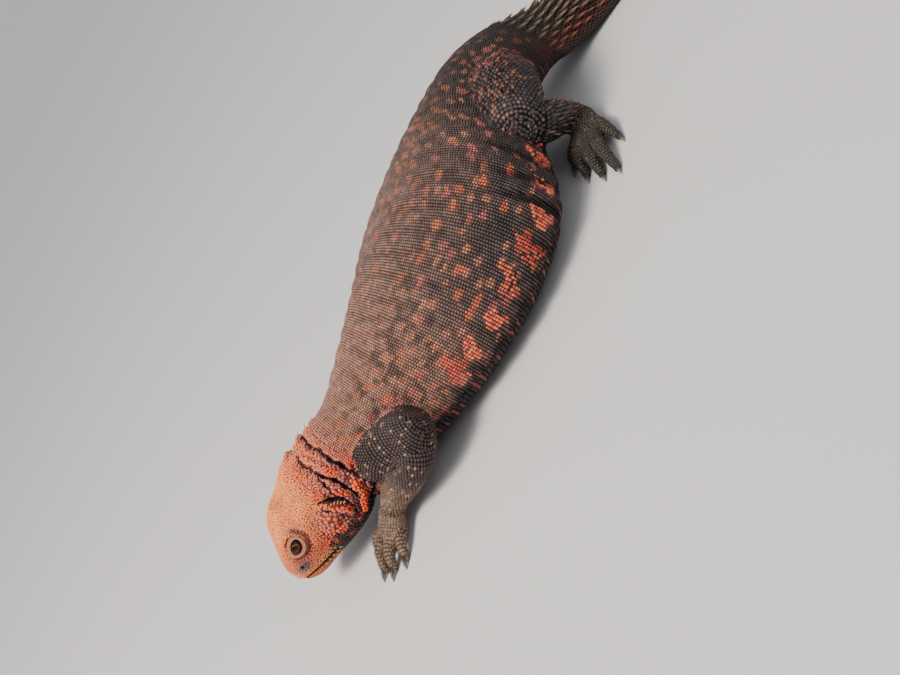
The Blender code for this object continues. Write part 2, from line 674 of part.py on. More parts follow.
def main():
    for old in list(bpy.data.objects):
        bpy.data.objects.remove(old)
    red = material("head_skin", (0.75, 0.30, 0.16))
    dark = material("body_skin", (0.16, 0.08, 0.06))
    brown = material("tail_skin", (0.32, 0.18, 0.11))
    limb = material("limb_skin", (0.20, 0.13, 0.11))
    black = material("eye", (0.02, 0.015, 0.01), 0.1)
    build_head(red)
    build_eye("eye_left", 1, black)
    build_eye("eye_right", -1, black)
    body_length("neck", spread(HEAD_END + GAP / 2, NECK_END - GAP / 2, 12), 28, red)
    body_length("torso", spread(NECK_END + GAP / 2, VENT - GAP / 2, 22), 28, dark)
    draw = random.Random(SEED)
    build_tail(brown, draw)
    for names, pieces, toes, side in LIMBS:
        build_limb(names, pieces, toes, side, limb, draw)
    stand_on_origin()


main()
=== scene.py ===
# %% [markdown]
# # A spiny-tailed lizard, scale by scale
#
# The real animal is one soft skin covered with many thousands of small hard scales: beads on the trunk,
# pointed tiles on the legs, and rings of thorns on the tail. This lesson builds it in the same order. First
# the skin, as smooth lofts melted into one surface, then the scales, which are small templates copied in rows
# over that surface, then the eyes, lids and claws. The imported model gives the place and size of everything.

import math

import bmesh
import bpy
import numpy as np
from mathutils import Matrix, Vector
from mathutils.bvhtree import BVHTree
from mathutils.kdtree import KDTree


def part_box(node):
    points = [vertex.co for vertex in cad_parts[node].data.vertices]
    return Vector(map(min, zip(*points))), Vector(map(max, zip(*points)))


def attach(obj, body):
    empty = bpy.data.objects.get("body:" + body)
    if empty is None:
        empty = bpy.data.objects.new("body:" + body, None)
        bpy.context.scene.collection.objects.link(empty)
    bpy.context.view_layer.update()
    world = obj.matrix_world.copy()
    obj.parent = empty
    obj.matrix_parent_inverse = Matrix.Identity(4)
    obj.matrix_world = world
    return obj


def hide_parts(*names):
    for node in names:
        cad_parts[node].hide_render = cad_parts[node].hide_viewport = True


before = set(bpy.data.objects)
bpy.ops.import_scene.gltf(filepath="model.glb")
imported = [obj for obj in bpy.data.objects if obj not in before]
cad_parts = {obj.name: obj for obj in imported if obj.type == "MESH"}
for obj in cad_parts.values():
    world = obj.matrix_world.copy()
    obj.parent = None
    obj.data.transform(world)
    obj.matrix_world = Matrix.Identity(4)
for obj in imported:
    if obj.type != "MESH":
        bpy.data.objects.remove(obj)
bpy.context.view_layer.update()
MM = 0.001
draw = np.random.default_rng(20)

# %% [markdown]
# ## The shape of the trunk
#
# A lizard's trunk is a long tube whose section changes slowly. It is described by a short table of sections,
# and a smooth cubic runs through the rows. Lengths are in millimetres, along x from the snout to the tail,
# and a section is half width, height of its middle, of its top and of its underside. The head has a table of
# its own, because it is turned and tipped on the neck.

# %% Sections of the head, neck, trunk and tail
HEAD_CENTRE = np.array([-105.0, 4.5, 28.0])
HEAD_TURN = (-5.0, -15.0, -5.0)
HEAD = (
    (16.4, 0.3, -7.2, -7.0, -7.4, 2.0),
    (16.0, 3.4, -7.4, -4.2, -11.4, 2.0),
    (14.8, 5.4, -7.2, -2.4, -13.4, 2.1),
    (12.6, 7.4, -6.8, -0.2, -15.6, 2.4),
    (9.2, 9.4, -6.2, 2.0, -17.6, 2.8),
    (5.0, 11.2, -5.4, 4.6, -19.0, 3.1),
    (0.0, 12.7, -4.8, 7.2, -21.2, 3.2),
    (-6.0, 14.4, -5.2, 9.4, -23.8, 2.8),
    (-12.0, 16.6, -6.2, 8.4, -25.4, 2.5),
    (-18.0, 18.2, -7.0, 8.6, -26.2, 2.3),
    (-23.0, 17.8, -7.0, 8.9, -26.2, 2.1),
)
BODY = (
    (-70.0, 0.6, 17.6, 22.0, 43.4, 3.6, 2.1),
    (-64.0, 0.2, 19.0, 21.5, 42.0, 3.4, 2.1),
    (-56.0, 0.0, 22.0, 21.0, 41.8, 2.6, 2.1),
    (-44.0, -0.1, 27.5, 20.0, 44.4, 1.2, 2.1),
    (-30.0, 0.4, 34.5, 19.0, 47.0, 0.0, 2.1),
    (-12.0, 2.0, 41.5, 18.0, 50.6, -1.0, 2.1),
    (6.0, 5.4, 46.0, 17.5, 53.8, -1.5, 2.1),
    (26.0, 12.4, 44.5, 18.0, 55.6, -0.8, 2.1),
    (44.0, 22.4, 34.5, 21.0, 55.6, 4.0, 2.1),
    (60.0, 32.0, 23.5, 25.0, 53.8, 11.0, 2.1),
    (74.0, 39.6, 20.2, 26.0, 51.0, 12.6, 2.1),
    (86.0, 45.0, 19.0, 24.5, 47.0, 12.2, 2.1),
    (98.0, 49.0, 18.0, 21.0, 40.6, 9.8, 2.1),
    (112.0, 50.6, 16.2, 15.6, 31.2, 4.4, 2.2),
    (130.0, 48.2, 14.4, 11.4, 23.0, -0.4, 2.2),
    (150.0, 41.6, 12.6, 9.2, 18.6, -1.1, 2.2),
    (175.0, 33.4, 10.2, 7.4, 14.8, -1.0, 2.2),
    (200.0, 27.8, 7.6, 5.7, 11.3, -0.8, 2.1),
    (222.0, 25.4, 4.9, 3.9, 7.7, -0.5, 2.0),
    (238.0, 25.2, 2.4, 2.2, 4.2, -0.1, 2.0),
    (243.0, 25.6, 0.5, 1.2, 1.7, 0.5, 2.0),
)
UNDER_POWER = 2.6
NECK_START, NECK_END, VENT, TAIL_TIP = -82.6, -69.0, 101.0, BODY[-1][0]
UP = np.array([0.0, 0.0, 1.0])


def smooth(table, at):
    """Every column of a table at the given stations, by a cubic with slopes from the neighbouring rows."""
    table = np.asarray(table, float)
    first, last = np.arange(len(table)) - 1, np.arange(len(table)) + 1
    first[0], last[-1] = 0, len(table) - 1
    slope = (table[last] - table[first]) / (table[last, :1] - table[first, :1])
    row = np.clip(np.searchsorted(table[:, 0], at, side="right") - 1, 0, len(table) - 2)
    width = (table[row + 1, 0] - table[row, 0])[..., None]
    t = np.clip((np.asarray(at)[..., None] - table[row, :1]) / width, 0, 1)
    start = (1 + 2 * t) * (1 - t) ** 2 * table[row] + t * (1 - t) ** 2 * width * slope[row]
    end = t * t * (3 - 2 * t) * table[row + 1] + t * t * (t - 1) * width * slope[row + 1]
    return start + end


def turned(yaw, pitch, roll):
    """The left, ahead and up directions of sections that look along -X before they are turned."""
    yaw, pitch, roll = (np.radians(np.asarray(angle, float))[..., None] for angle in (yaw, pitch, roll))
    level = np.concatenate([-np.cos(yaw), -np.sin(yaw), 0 * yaw], -1)
    side = np.concatenate([np.sin(yaw), -np.cos(yaw), 0 * yaw], -1)
    ahead = level * np.cos(pitch) + UP * np.sin(pitch)
    rise = UP * np.cos(pitch) - level * np.sin(pitch)
    left = side * np.cos(roll) + rise * np.sin(roll)
    return left, ahead, rise * np.cos(roll) - side * np.sin(roll)


HEAD_LEFT, HEAD_AHEAD, HEAD_UP = turned(*HEAD_TURN)


def head_place(ahead, left, up):
    """A point in the head's own frame, whose origin is midway between the eyes."""
    ahead, left, up = (np.asarray(part, float)[..., None] for part in (ahead, left, up))
    return HEAD_CENTRE + HEAD_AHEAD * ahead + HEAD_LEFT * left + HEAD_UP * up


def sections():
    """Both tables as one: station, centre, yaw, pitch, roll, half width, rise, drop, power."""
    rows = []
    for ahead, half, middle, top, under, power in HEAD:
        centre = head_place(ahead, 0, middle)
        rows.append((centre[0], *centre, *HEAD_TURN, half, top - middle, middle - under, power))
    for x, y, half, middle, top, under, power in BODY:
        low, high = max(x - 1, BODY[0][0]), min(x + 1, TAIL_TIP)
        y_low, y_high = smooth(BODY, np.array([low, high]))[:, 1]
        yaw = math.degrees(math.atan2(y_high - y_low, high - low))
        rows.append((x, x, y, middle, yaw, 0, 0, half, top - middle, middle - under, power))
    return np.array(rows)


SPINE = sections()
SNOUT = SPINE[0, 0]
EYE_AT = (-0.2, 9.3, 2.0)
low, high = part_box("eye_left")
SHIFT = head_place(*EYE_AT) - np.array((low + high) / 2) / MM
SHIFT[2] = 0
print("the lesson's tables are moved by", -SHIFT.round(2), "mm to fit the packed model")

# %% [markdown]
# ## Folds and hollows
#
# Loose skin hangs in upright folds where the neck bends and where the flank meets the thigh. Folds could be
# painted, but light has to catch their crests, so they are part of the surface: each fold is a narrow bell
# curve taken away from the section, leaning a little with height.

# %% Relief of the skin
# Swellings and hollows of the head: how far ahead, height angle, their two spreads, and height.
HEAD_FORMS = (
    (0.5, 58, 6.0, 16, 1.1),
    (8.0, 46, 4.0, 15, -0.7),
    (-13.0, 46, 5.0, 16, 0.7),
    (-19.0, 70, 3.6, 26, 0.8),
    (-14.0, -20, 6.0, 22, 1.1),
    (-1.0, 14, 5.0, 12, -0.6),
)
# Grooves of the loose skin: half width, depth, and the line as stations and degrees up the side.
FOLDS = (
    (0.80, 2.6, ((-71.4, 92), (-70.9, 70), (-70.7, 46), (-70.8, 30), (-71.2, 17), (-70.2, 6), (-70.8, -8),
                 (-74.0, -18), (-78.5, -30), (-80.5, -60))),
    (0.55, 1.4, ((-73.6, 80), (-73.3, 51), (-72.3, 38))),
    (0.75, 2.4, ((-75.6, 84), (-76.3, 52), (-75.9, 36), (-75.8, 22), (-75.9, 10), (-77.1, -3), (-79.6, -12))),
    (0.60, 1.5, ((-76.5, 42), (-78.9, 24), (-80.4, 8), (-80.6, -4))),
    (0.60, 1.5, ((-84.8, 24), (-82.3, 11), (-81.9, -1), (-83.5, -11), (-86.2, -22))),
    (0.50, 1.1, ((-86.6, 18), (-86.9, 2), (-87.2, -6), (-87.8, -15), (-89.0, -26))),
    (0.70, 1.8, ((-66.7, 12), (-67.9, -2), (-67.3, -12), (-66.0, -28))),
    (0.50, 0.9, ((-67.4, 80), (-67.8, 56), (-67.2, 36))),
)
# Swollen ridges and lobes between them, given the same way.
RIDGES = (
    (1.25, 1.6, ((-73.4, 5), (-76.6, -9), (-80.4, -20), (-84.0, -25))),
    (1.30, 1.5, ((-74.0, 36), (-73.7, 26))),
    (1.50, 1.5, ((-68.3, 23), (-68.0, 14))),
    (1.20, 1.3, ((-79.0, 18), (-78.8, 2))),
    (1.00, 1.1, ((-84.9, 14), (-84.4, 0), (-85.4, -9))),
    (1.00, 0.9, ((-82.6, 34), (-82.2, 24))),
    (0.90, 0.9, ((-72.4, 84), (-72.1, 60))),
    (1.00, 0.9, ((-77.8, 78), (-77.9, 56))),
)
# Millimetres of skin to one degree up the side.
SIDE_STEP = 0.31
# Folds of the flanks: first and last station, spacing, depth, height angle and spread round the section.
FLANK_FOLDS = (
    (18, 88, 6.6, 2.3, 4, 34), (-66, -38, 5.6, 0.9, 10, 30), (-42, 30, 9.6, 1.1, -10, 30),
    (-62, 84, 7.4, 0.9, 68, 26),
)


def bell(value, spread):
    return np.exp(-((value / spread) ** 2))


def fade(value, low, high):
    """From 0 at low to 1 at high, with soft ends."""
    t = np.clip((value - low) / (high - low), 0, 1)
    return t * t * (3 - 2 * t)


def lift_of(angle):
    """Degrees above the horizon of a place on a section, the same on both sides."""
    return np.degrees(np.arcsin(np.clip(np.sin(angle), -1, 1)))


def lines_near(lines, at, lift):
    """The strongest of some soft lines at each place: height times a bell of the distance."""
    spot = np.stack(np.broadcast_arrays(at, lift * SIDE_STEP), -1).astype(float)
    best = np.zeros(spot.shape[:-1])
    for wide, height, line in lines:
        line = np.array(line, float) * (1, SIDE_STEP)
        for start, end in zip(line[:-1], line[1:]):
            step = end - start
            t = np.clip((spot - start) @ step / (step @ step), 0, 1)
            far = np.linalg.norm(spot - start - t[..., None] * step, axis=-1)
            best = np.maximum(best, height * bell(far, wide))
    return best


def grooves(at, angle):
    lift = lift_of(angle)
    at = at + 0.25 * np.sin(lift / 5) + 0.2 * np.sin(lift / 2.3 + at)
    return lines_near(FOLDS, at, lift) * (1 - 0.5 * fade(lift, 24, 52))


def ridges(at, angle):
    return lines_near(RIDGES, at, lift_of(angle))


MOUTH_LINE = ((-0.8, -14.7), (3.0, -13.1), (8.0, -10.9), (12.0, -9.4), (18.0, -8.4))
MOUTH_WIDTH, MOUTH_DEPTH, LIP_STEP = 0.75, 1.3, 0.95


def mouth_height(ahead):
    """How high the line of the mouth runs, level past its ends."""
    return smooth(MOUTH_LINE, np.clip(ahead, MOUTH_LINE[0][0], MOUTH_LINE[-1][0]))[..., 1]


def flank_folds(at, angle):
    lift = lift_of(angle)
    out = 0.0
    for first, last, spacing, depth, turn, round_ in FLANK_FOLDS:
        shift = 0.06 * lift + 1.5 * np.sin(at / 11 + lift / 40) + 0.9 * np.sin(lift / 13 + at / 5)
        wave = np.cos(2 * math.pi * (at - first + shift) / spacing)
        ends = fade(at, first, first + spacing) * fade(-at, -last, -last + spacing)
        out = out + depth * ends * bell(lift - turn, round_) * (0.5 + 0.5 * wave) ** 4
    return out


def relief(at, angle):
    """How far the skin stands out from its plain section, in its broad forms."""
    lift = lift_of(angle)
    ahead = (HEAD_CENTRE[0] - at) / math.cos(math.radians(HEAD_TURN[1]))
    head = fade(-at, -NECK_START - 5, -NECK_START - 1)
    out = -flank_folds(at, angle)
    for place, turn, along, round_, height in HEAD_FORMS:
        out = out + head * height * bell(ahead - place, along) * bell(lift - turn, round_)
    return out


def body_skin(at, angle, grow=0.0):
    """Points of the trunk's skin; the angle turns from the left flank over the back."""
    at, angle = np.broadcast_arrays(np.asarray(at, float), np.asarray(angle, float))
    row = smooth(SPINE, at)
    left, _, up = turned(row[..., 4], row[..., 5], row[..., 6])
    c, q = np.cos(angle), np.sin(angle)
    power = np.where(q > 0, row[..., 10], UNDER_POWER)
    rise = np.where(q > 0, row[..., 8], row[..., 9])
    out = relief(at, angle) + grow
    side = np.sign(c) * np.abs(c) ** (2 / power) * row[..., 7] + c * out
    height = np.sign(q) * np.abs(q) ** (2 / power) * rise + q * out
    point = row[..., 1:4] + left * side[..., None] + up * height[..., None] - SHIFT
    point[..., 2] = np.maximum(point[..., 2], 0)
    return point


# The tail's thorns at its root and tip, and how much of their length they reach outwards.
THORN_LONG, THORN_SHORT, THORN_RISE, THORN_RAMP = 6.0, 2.6, 0.56, 16.0


def along_tail(first, last, at):
    """A size that changes evenly from the root of the tail to its tip."""
    return first + (last - first) * (at - VENT) / (TAIL_TIP - VENT)


def trunk_skin(at, angle, grow=0.0):
    """The same skin, drawn in on the tail's upper side so that the thorns reach its outline."""
    ramp = np.clip((at - VENT) / THORN_RAMP, 0, 1)
    upper = np.clip(np.sin(angle) * 2 + 1.3, 0, 1)
    reach = along_tail(THORN_LONG, THORN_SHORT, at) * THORN_RISE * ramp * upper
    half = smooth(SPINE, np.asarray(at, float))[..., 7]
    return body_skin(at, angle, grow - np.minimum(reach, half / 2))


def scaled_skin(at, angle, grow=0.0):
    """The skin with its fine folds, on which the scales stand."""
    return trunk_skin(at, angle, grow + ridges(at, angle) - grooves(at, angle))


print("trunk from", SNOUT.round(1), "to", TAIL_TIP, "mm")

# %% [markdown]
# ## The legs
#
# Each leg is three short tubes: upper, lower, and the palm or sole, with toes that are tubes too. A tube is
# described by its joints, each with a radius across and a radius upright, so a knee is as easy as a straight
# piece. The right legs are hidden in the photograph and take the same sizes in a pose of their own.

# %% Joints of the legs and toes
ARM_LEFT = (
    (((-66, -13, 22), 8.6, 9.2), ((-58, -24, 24), 8.4, 9.0), ((-49, -31, 23.5), 8.2, 9.0)),
    (((-49, -31.5, 21.5), 8.0, 8.6), ((-56, -31, 17), 7.8, 8.0), ((-66, -26, 13), 6.8, 6.6),
     ((-73.5, -21, 10.5), 5.8, 5.2)),
    (((-74, -20.5, 9.5), 5.4, 4.8), ((-79.5, -19, 6.9), 6.6, 4.8), ((-84.5, -20, 4.0), 7.4, 4.4)),
)
ARM_RIGHT = (
    (((-64, 13, 22), 8.6, 9.2), ((-56, 25, 24), 8.4, 9.0), ((-48, 34, 22.5), 8.2, 8.6)),
    (((-48, 34.5, 21.0), 8.0, 8.2), ((-51.5, 37, 15.5), 7.6, 7.6), ((-59, 37.5, 10.5), 6.6, 6.4),
     ((-65, 37, 8.0), 5.8, 5.2)),
    (((-65.5, 37, 7.2), 5.4, 4.8), ((-70.5, 37, 5.6), 6.6, 4.8), ((-75.5, 38.5, 4.0), 7.4, 4.4)),
)
LEG_LEFT = (
    (((80, 30, 29), 14.0, 15.0), ((74, 14.5, 31.5), 13.2, 14.2), ((67, 1, 30.5), 10.2, 11.0)),
    (((67, 0, 29), 9.4, 9.8), ((70.5, 0.5, 22), 8.4, 8.6), ((76.5, 5, 14.2), 7.0, 6.6),
     ((80.5, 9.5, 8.4), 5.8, 5.4)),
    (((82, 9.5, 6.6), 4.8, 4.6), ((80.5, 3.5, 5.8), 6.0, 4.8), ((77, -2.5, 3.7), 7.2, 4.2)),
)
LEG_RIGHT = (
    (((80, 58, 25), 14.0, 14.0), ((66, 67, 25.5), 13.0, 13.0), ((52.5, 76, 22.5), 10.4, 10.4)),
    (((52.5, 77, 21), 9.4, 9.4), ((53.5, 82.5, 15.5), 8.6, 8.4), ((58.5, 89.5, 10.8), 7.0, 6.6),
     ((62, 94, 8.0), 5.8, 5.4)),
    (((63, 95, 6.4), 4.8, 4.6), ((58, 98.5, 5.6), 6.0, 4.8), ((52, 102, 3.7), 7.2, 4.2)),
)
HAND_TOES = (
    ((-4.7, -4.5, 5.0), (-0.1, -8.7, 4.2), (3.8, -9.7, 1.0), 2.2),
    ((-1.5, -3.8, 5.0), (4.7, -5.8, 5.4), (10.1, -5.1, 1.0), 2.3),
    ((-0.6, -0.6, 4.8), (7.6, -0.4, 5.6), (13.6, 1.4, 1.0), 2.4),
    ((-0.8, 3.0, 4.6), (7.0, 5.4, 5.0), (12.2, 7.4, 1.0), 2.3),
    ((-2.2, 5.2, 4.0), (2.7, 9.2, 4.0), (6.9, 11.9, 1.0), 2.1),
)
FOOT_TOES = (
    ((-2.0, -4.8, 3.6), (2.2, -9.2, 3.6), (6.4, -11.6, 1.0), 2.4),
    ((-0.5, -3.4, 3.8), (8.8, -6.6, 4.4), (17.2, -7.8, 1.0), 2.5),
    ((-0.5, -1.0, 3.8), (14.0, -1.8, 5.0), (25.5, -1.4, 1.0), 2.6),
    ((-0.5, 2.2, 3.8), (16.0, 3.8, 5.2), (29.8, 5.4, 1.0), 2.7),
    ((-1.5, 4.8, 3.6), (7.4, 8.2, 4.2), (15.6, 10.4, 1.0), 2.3),
)
LIMBS = (
    ("arm_left", ARM_LEFT, HAND_TOES, 1),
    ("arm_right", ARM_RIGHT, HAND_TOES, -1),
    ("leg_left", LEG_LEFT, FOOT_TOES, 1),
    ("leg_right", LEG_RIGHT, FOOT_TOES, -1),
)
ROUND_END = ((0.97, 0.24), (0.78, 0.63), (0.44, 0.9))


def limb_rows(joints):
    """Joints as rows: distance along, place, radius across, upright radius."""
    places = np.array([place for place, _, _ in joints], float)
    along = np.concatenate([[0], np.cumsum(np.linalg.norm(np.diff(places, axis=0), axis=1))])
    radii = np.array([joint[1:] for joint in joints], float)
    return np.column_stack([along, places, radii])


def unit(steps):
    return steps / np.linalg.norm(steps, axis=-1, keepdims=True)


def limb_skin(rows, at, angle, grow=0.0, width=1.0):
    """Points of a tube's skin; past its ends the tube goes straight on."""
    at, angle, width = np.broadcast_arrays(np.asarray(at, float), np.asarray(angle, float), width)
    end = rows[-1, 0]
    inside = np.clip(at, 0, end)
    row = smooth(rows, inside)
    before = smooth(rows, np.maximum(inside - 1, 0))
    after = smooth(rows, np.minimum(inside + 1, end))
    along = unit(after[..., 1:4] - before[..., 1:4])
    side = unit(np.cross(UP, along))
    top = np.cross(along, side)
    point = row[..., 1:4] + along * (at - inside)[..., None]
    point = point + side * (np.cos(angle) * (row[..., 4] + grow) * width)[..., None]
    point = point + top * (np.sin(angle) * (row[..., 5] + grow) * width)[..., None] - SHIFT
    point[..., 2] = np.maximum(point[..., 2], 0)
    return point


def toe_joints(joints, side, spots, radius):
    """A toe's joints in the world, from places given ahead of the palm's end, outwards and up."""
    before, end = np.array(joints[-2][0], float), np.array(joints[-1][0], float)
    ahead = (end - before) * (1, 1, 0)
    ahead /= np.linalg.norm(ahead)
    out = np.array([-ahead[1], ahead[0], 0]) * side
    places = [end * (1, 1, 0) + ahead * spot[0] + out * spot[1] + UP * spot[2] for spot in spots]
    sizes = ((1.0, 1.0), (0.92, 0.95), (0.62, 0.62))
    return [(place, radius * across, radius * tall) for place, (across, tall) in zip(places, sizes)]


def limb_round(rows, at, angle):
    """The tube with both ends rounded off."""
    at = np.asarray(at, float)
    first, last = rows[0, 4] * ROUND_END[0][0], rows[-1, 4] * ROUND_END[0][0]
    past = np.maximum(-at / first, (at - rows[-1, 0]) / last)
    width = np.sqrt(1 - np.clip(past, 0, 0.995) ** 2)
    return limb_skin(rows, at, angle, width=width)


LIMB_TUBES = {name: [limb_rows(joints) for joints in pieces] for name, pieces, _, _ in LIMBS}
TOE_TUBES = {
    name: [limb_rows(toe_joints(pieces[2], side, spots, radius)) for *spots, radius in toes]
    for name, pieces, toes, side in LIMBS
}
print("tubes", sum(map(len, LIMB_TUBES.values())), "toes", sum(map(len, TOE_TUBES.values())))

# %% [markdown]
# ## One skin
#
# The lofts start as spheres, because a sphere has rows, sides and closed poles already, and each row is laid
# on its section. Joined together they still pass through each other. A voxel remesh melts them into one
# closed surface, as skin grows over shoulder and hip without a seam, and a little smoothing there rounds the
# creases. The eye sockets and ear openings are cut from the trunk before that.

# %% Lofts
UNDER_SCALES = -0.3


def new_object(name, data):
    made = bpy.data.objects.new(name, data)
    bpy.context.scene.collection.objects.link(made)
    return made


def shape_object(name, shape):
    """An object made from a bmesh, which is freed."""
    mesh = bpy.data.meshes.new(name)
    shape.to_mesh(mesh)
    shape.free()
    return new_object(name, mesh)


def corners_of(mesh):
    """The places of a mesh's corners as an array."""
    spots = np.empty(len(mesh.vertices) * 3, np.float32)
    mesh.vertices.foreach_get("co", spots)
    return spots.reshape(-1, 3).astype(float)


def search_tree(spots):
    tree = KDTree(len(spots))
    for index, spot in enumerate(spots):
        tree.insert(spot, index)
    tree.balance()
    return tree


def loft(name, rings, sides, place):
    """A closed mesh made from a sphere whose rows are laid where place(row, angle) says."""
    shape = bmesh.new()
    bmesh.ops.create_uvsphere(shape, u_segments=sides, v_segments=rings + 1, radius=1)
    mesh = bpy.data.meshes.new(name)
    shape.to_mesh(mesh)
    shape.free()
    spots = corners_of(mesh)
    row = np.rint(np.arccos(np.clip(spots[:, 2], -1, 1)) / math.pi * (rings + 1)).astype(int)
    angle = np.arctan2(spots[:, 1], spots[:, 0])
    inner = (row > 0) & (row <= rings)
    spots[inner] = place(row[inner] - 1, angle[inner])
    spots[row == 0] = spots[row == 1].mean(0)
    spots[row == rings + 1] = spots[row == rings].mean(0)
    mesh.vertices.foreach_set("co", (spots * MM).ravel())
    shape = bmesh.new()
    shape.from_mesh(mesh)
    bmesh.ops.recalc_face_normals(shape, faces=shape.faces)
    shape.to_mesh(mesh)
    shape.free()
    return new_object(name, mesh)


def tube_loft(name, rows, count, sides, grow=0.0):
    end = rows[-1, 0]
    past = [(-out * rows[0, 4], wide) for out, wide in ROUND_END]
    past += [(at, 1.0) for at in np.linspace(0, end, count)]
    past += [(end + out * rows[-1, 4], wide) for out, wide in reversed(ROUND_END)]
    past = np.array(past)

    def place(row, angle):
        return limb_skin(rows, past[row, 0], angle, grow, past[row, 1])

    return loft(name, len(past), sides, place)


def apply_modifiers(target):
    view = bpy.context.evaluated_depsgraph_get()
    mesh = bpy.data.meshes.new_from_object(target.evaluated_get(view))
    target.modifiers.clear()
    target.data = mesh


def combine(target, others, operation):
    """Apply one Boolean of several closed meshes to the target, then remove them."""
    group = bpy.data.collections.new("tools")
    for other in others:
        group.objects.link(other)
    step = target.modifiers.new("combine", "BOOLEAN")
    step.operation, step.operand_type, step.collection, step.solver = operation, "COLLECTION", group, "EXACT"
    apply_modifiers(target)
    for other in others:
        bpy.data.objects.remove(other)
    bpy.data.collections.remove(group)


def ball(name, centre, axes, radii, segments=24):
    """A ball with three radii along three directions, in millimetres."""
    shape = bmesh.new()
    bmesh.ops.create_uvsphere(shape, u_segments=segments, v_segments=segments // 2, radius=1)
    turn = Matrix([list(axis * size) for axis, size in zip(axes, radii)]).transposed().to_4x4()
    bmesh.ops.transform(shape, matrix=Matrix.Translation(Vector(centre * MM)) @ Matrix.Scale(MM, 4) @ turn,
                        verts=shape.verts)
    bmesh.ops.recalc_face_normals(shape, faces=shape.faces)
    return shape_object(name, shape)


SIDES = (1, -1)
SOCKET, EYE_LEAN = (3.6, 2.6, 6.0), -28
EAR_AT, EAR_SIZE, EAR_LEAN = (-21.2, 17.8, -5.4), (1.2, 2.8, 4.2), -20
first_rings = SNOUT + np.array([0, 0.2, 0.6, 1.2])
rings = np.concatenate([first_rings, np.arange(SNOUT + 2, TAIL_TIP, 1.0), [TAIL_TIP]])
trunk = loft("trunk", len(rings), 160, lambda row, angle: trunk_skin(rings[row], angle, UNDER_SCALES))
print("trunk loft", len(trunk.data.polygons), "faces")


def side_place(at, side):
    return head_place(at[0], side * at[1], at[2]) - SHIFT


def head_measures(place):
    """Ahead of the eyes, out from the middle and up, in the head's own frame."""
    away = place + SHIFT - HEAD_CENTRE
    return away @ HEAD_AHEAD, np.abs(away @ HEAD_LEFT), away @ HEAD_UP


def leaning(degrees):
    """The head's ahead and up directions, turned in the side view."""
    lean = math.radians(degrees)
    ahead = HEAD_AHEAD * math.cos(lean) + HEAD_UP * math.sin(lean)
    return ahead, HEAD_UP * math.cos(lean) - HEAD_AHEAD * math.sin(lean)


def oval_measures(ahead, up, middle, degrees):
    """Along and across a leaning oval on the side of the head, from its middle."""
    lean = math.radians(degrees)
    far_ahead, far_up = ahead - middle[0], up - middle[2]
    along = far_ahead * math.cos(lean) + far_up * math.sin(lean)
    return along, far_up * math.cos(lean) - far_ahead * math.sin(lean)


hollows = []
for side in SIDES:
    ahead, rise = leaning(EYE_LEAN)
    hollows.append(ball("socket", side_place(EYE_AT, side), (ahead, rise, HEAD_LEFT * side), SOCKET, 32))
    ahead, rise = leaning(EAR_LEAN)
    hollows.append(ball("ear", side_place(EAR_AT, side), (ahead, HEAD_LEFT, rise), EAR_SIZE, 24))
combine(trunk, hollows, "DIFFERENCE")

# %% Melt everything into one skin
VOXEL = 1.12
flesh = [trunk]
for name, _, _, _ in LIMBS:
    flesh += [tube_loft(name, rows, 24, 40, UNDER_SCALES) for rows in LIMB_TUBES[name]]
    flesh += [tube_loft(name, rows, 14, 16) for rows in TOE_TUBES[name]]
shape = bmesh.new()
for part in flesh:
    shape.from_mesh(part.data)
    bpy.data.objects.remove(part)
skin = shape_object("skin", shape)
melt = skin.modifiers.new("melt", "REMESH")
melt.mode, melt.voxel_size, melt.adaptivity = "VOXEL", VOXEL * MM, 0
apply_modifiers(skin)
print("skin after the remesh", len(skin.data.polygons), "faces")

# %% Round off the creases where the legs join
# Which tube, which of its joints, how far the rounding reaches in radii, and how many times it is done.
JOINT_ROUNDING = ((0, 0, 1.25, 14), (0, -1, 1.3, 8), (1, -1, 1.3, 6))
ALL_AXES = {"use_axis_x": True, "use_axis_y": True, "use_axis_z": True}
shape = bmesh.new()
shape.from_mesh(skin.data)
for _ in range(2):
    bmesh.ops.smooth_vert(shape, verts=shape.verts, factor=0.5, **ALL_AXES)
for name, tubes in LIMB_TUBES.items():
    for piece, joint, reach, rounds in JOINT_ROUNDING:
        row = tubes[piece][joint]
        centre = Vector((row[1:4] - SHIFT) * MM)
        near = [v for v in shape.verts if (v.co - centre).length < row[4] * reach * MM]
        for _ in range(rounds):
            bmesh.ops.smooth_vert(shape, verts=near, factor=0.5, **ALL_AXES)
shape.to_mesh(skin.data)
shape.free()
print("joints rounded")

# %% Press in the folds, the mouth and the nostrils
# Head and neck get twice as many faces first, so that narrow grooves have points to follow.
FINE_END = NECK_END + 4
NOSTRIL_AT, NOSTRIL_SIZE, NOSTRIL_DEPTH = (8.8, 9.0, -4.4), 0.95, 1.2
# The crease round the lids: half length, half height, width and depth.
LID_CREASE = (5.1, 4.1, 0.45, 0.55)
shape = bmesh.new()
shape.from_mesh(skin.data)
fine_end = (FINE_END - SHIFT[0]) * MM
fine = [edge for edge in shape.edges if max(v.co.x for v in edge.verts) < fine_end]
bmesh.ops.subdivide_edges(shape, edges=fine, cuts=1, use_grid_fill=True, smooth=1.0)
ground = BVHTree.FromBMesh(shape)
nostrils = {}
for side in SIDES:
    nearest = ground.find_nearest(Vector(side_place(NOSTRIL_AT, side) * MM))[0]
    nostrils[side] = np.array(nearest) / MM
grid_at, grid_angle = np.meshgrid(np.arange(SNOUT, FINE_END + 2, 0.5), np.radians(np.arange(-180, 180, 2.0)))
grid_at, grid_angle = grid_at.ravel(), grid_angle.ravel()
tree = search_tree(trunk_skin(grid_at, grid_angle, UNDER_SCALES))
shape.normal_update()
corners = [corner for corner in shape.verts if corner.co.x < fine_end]
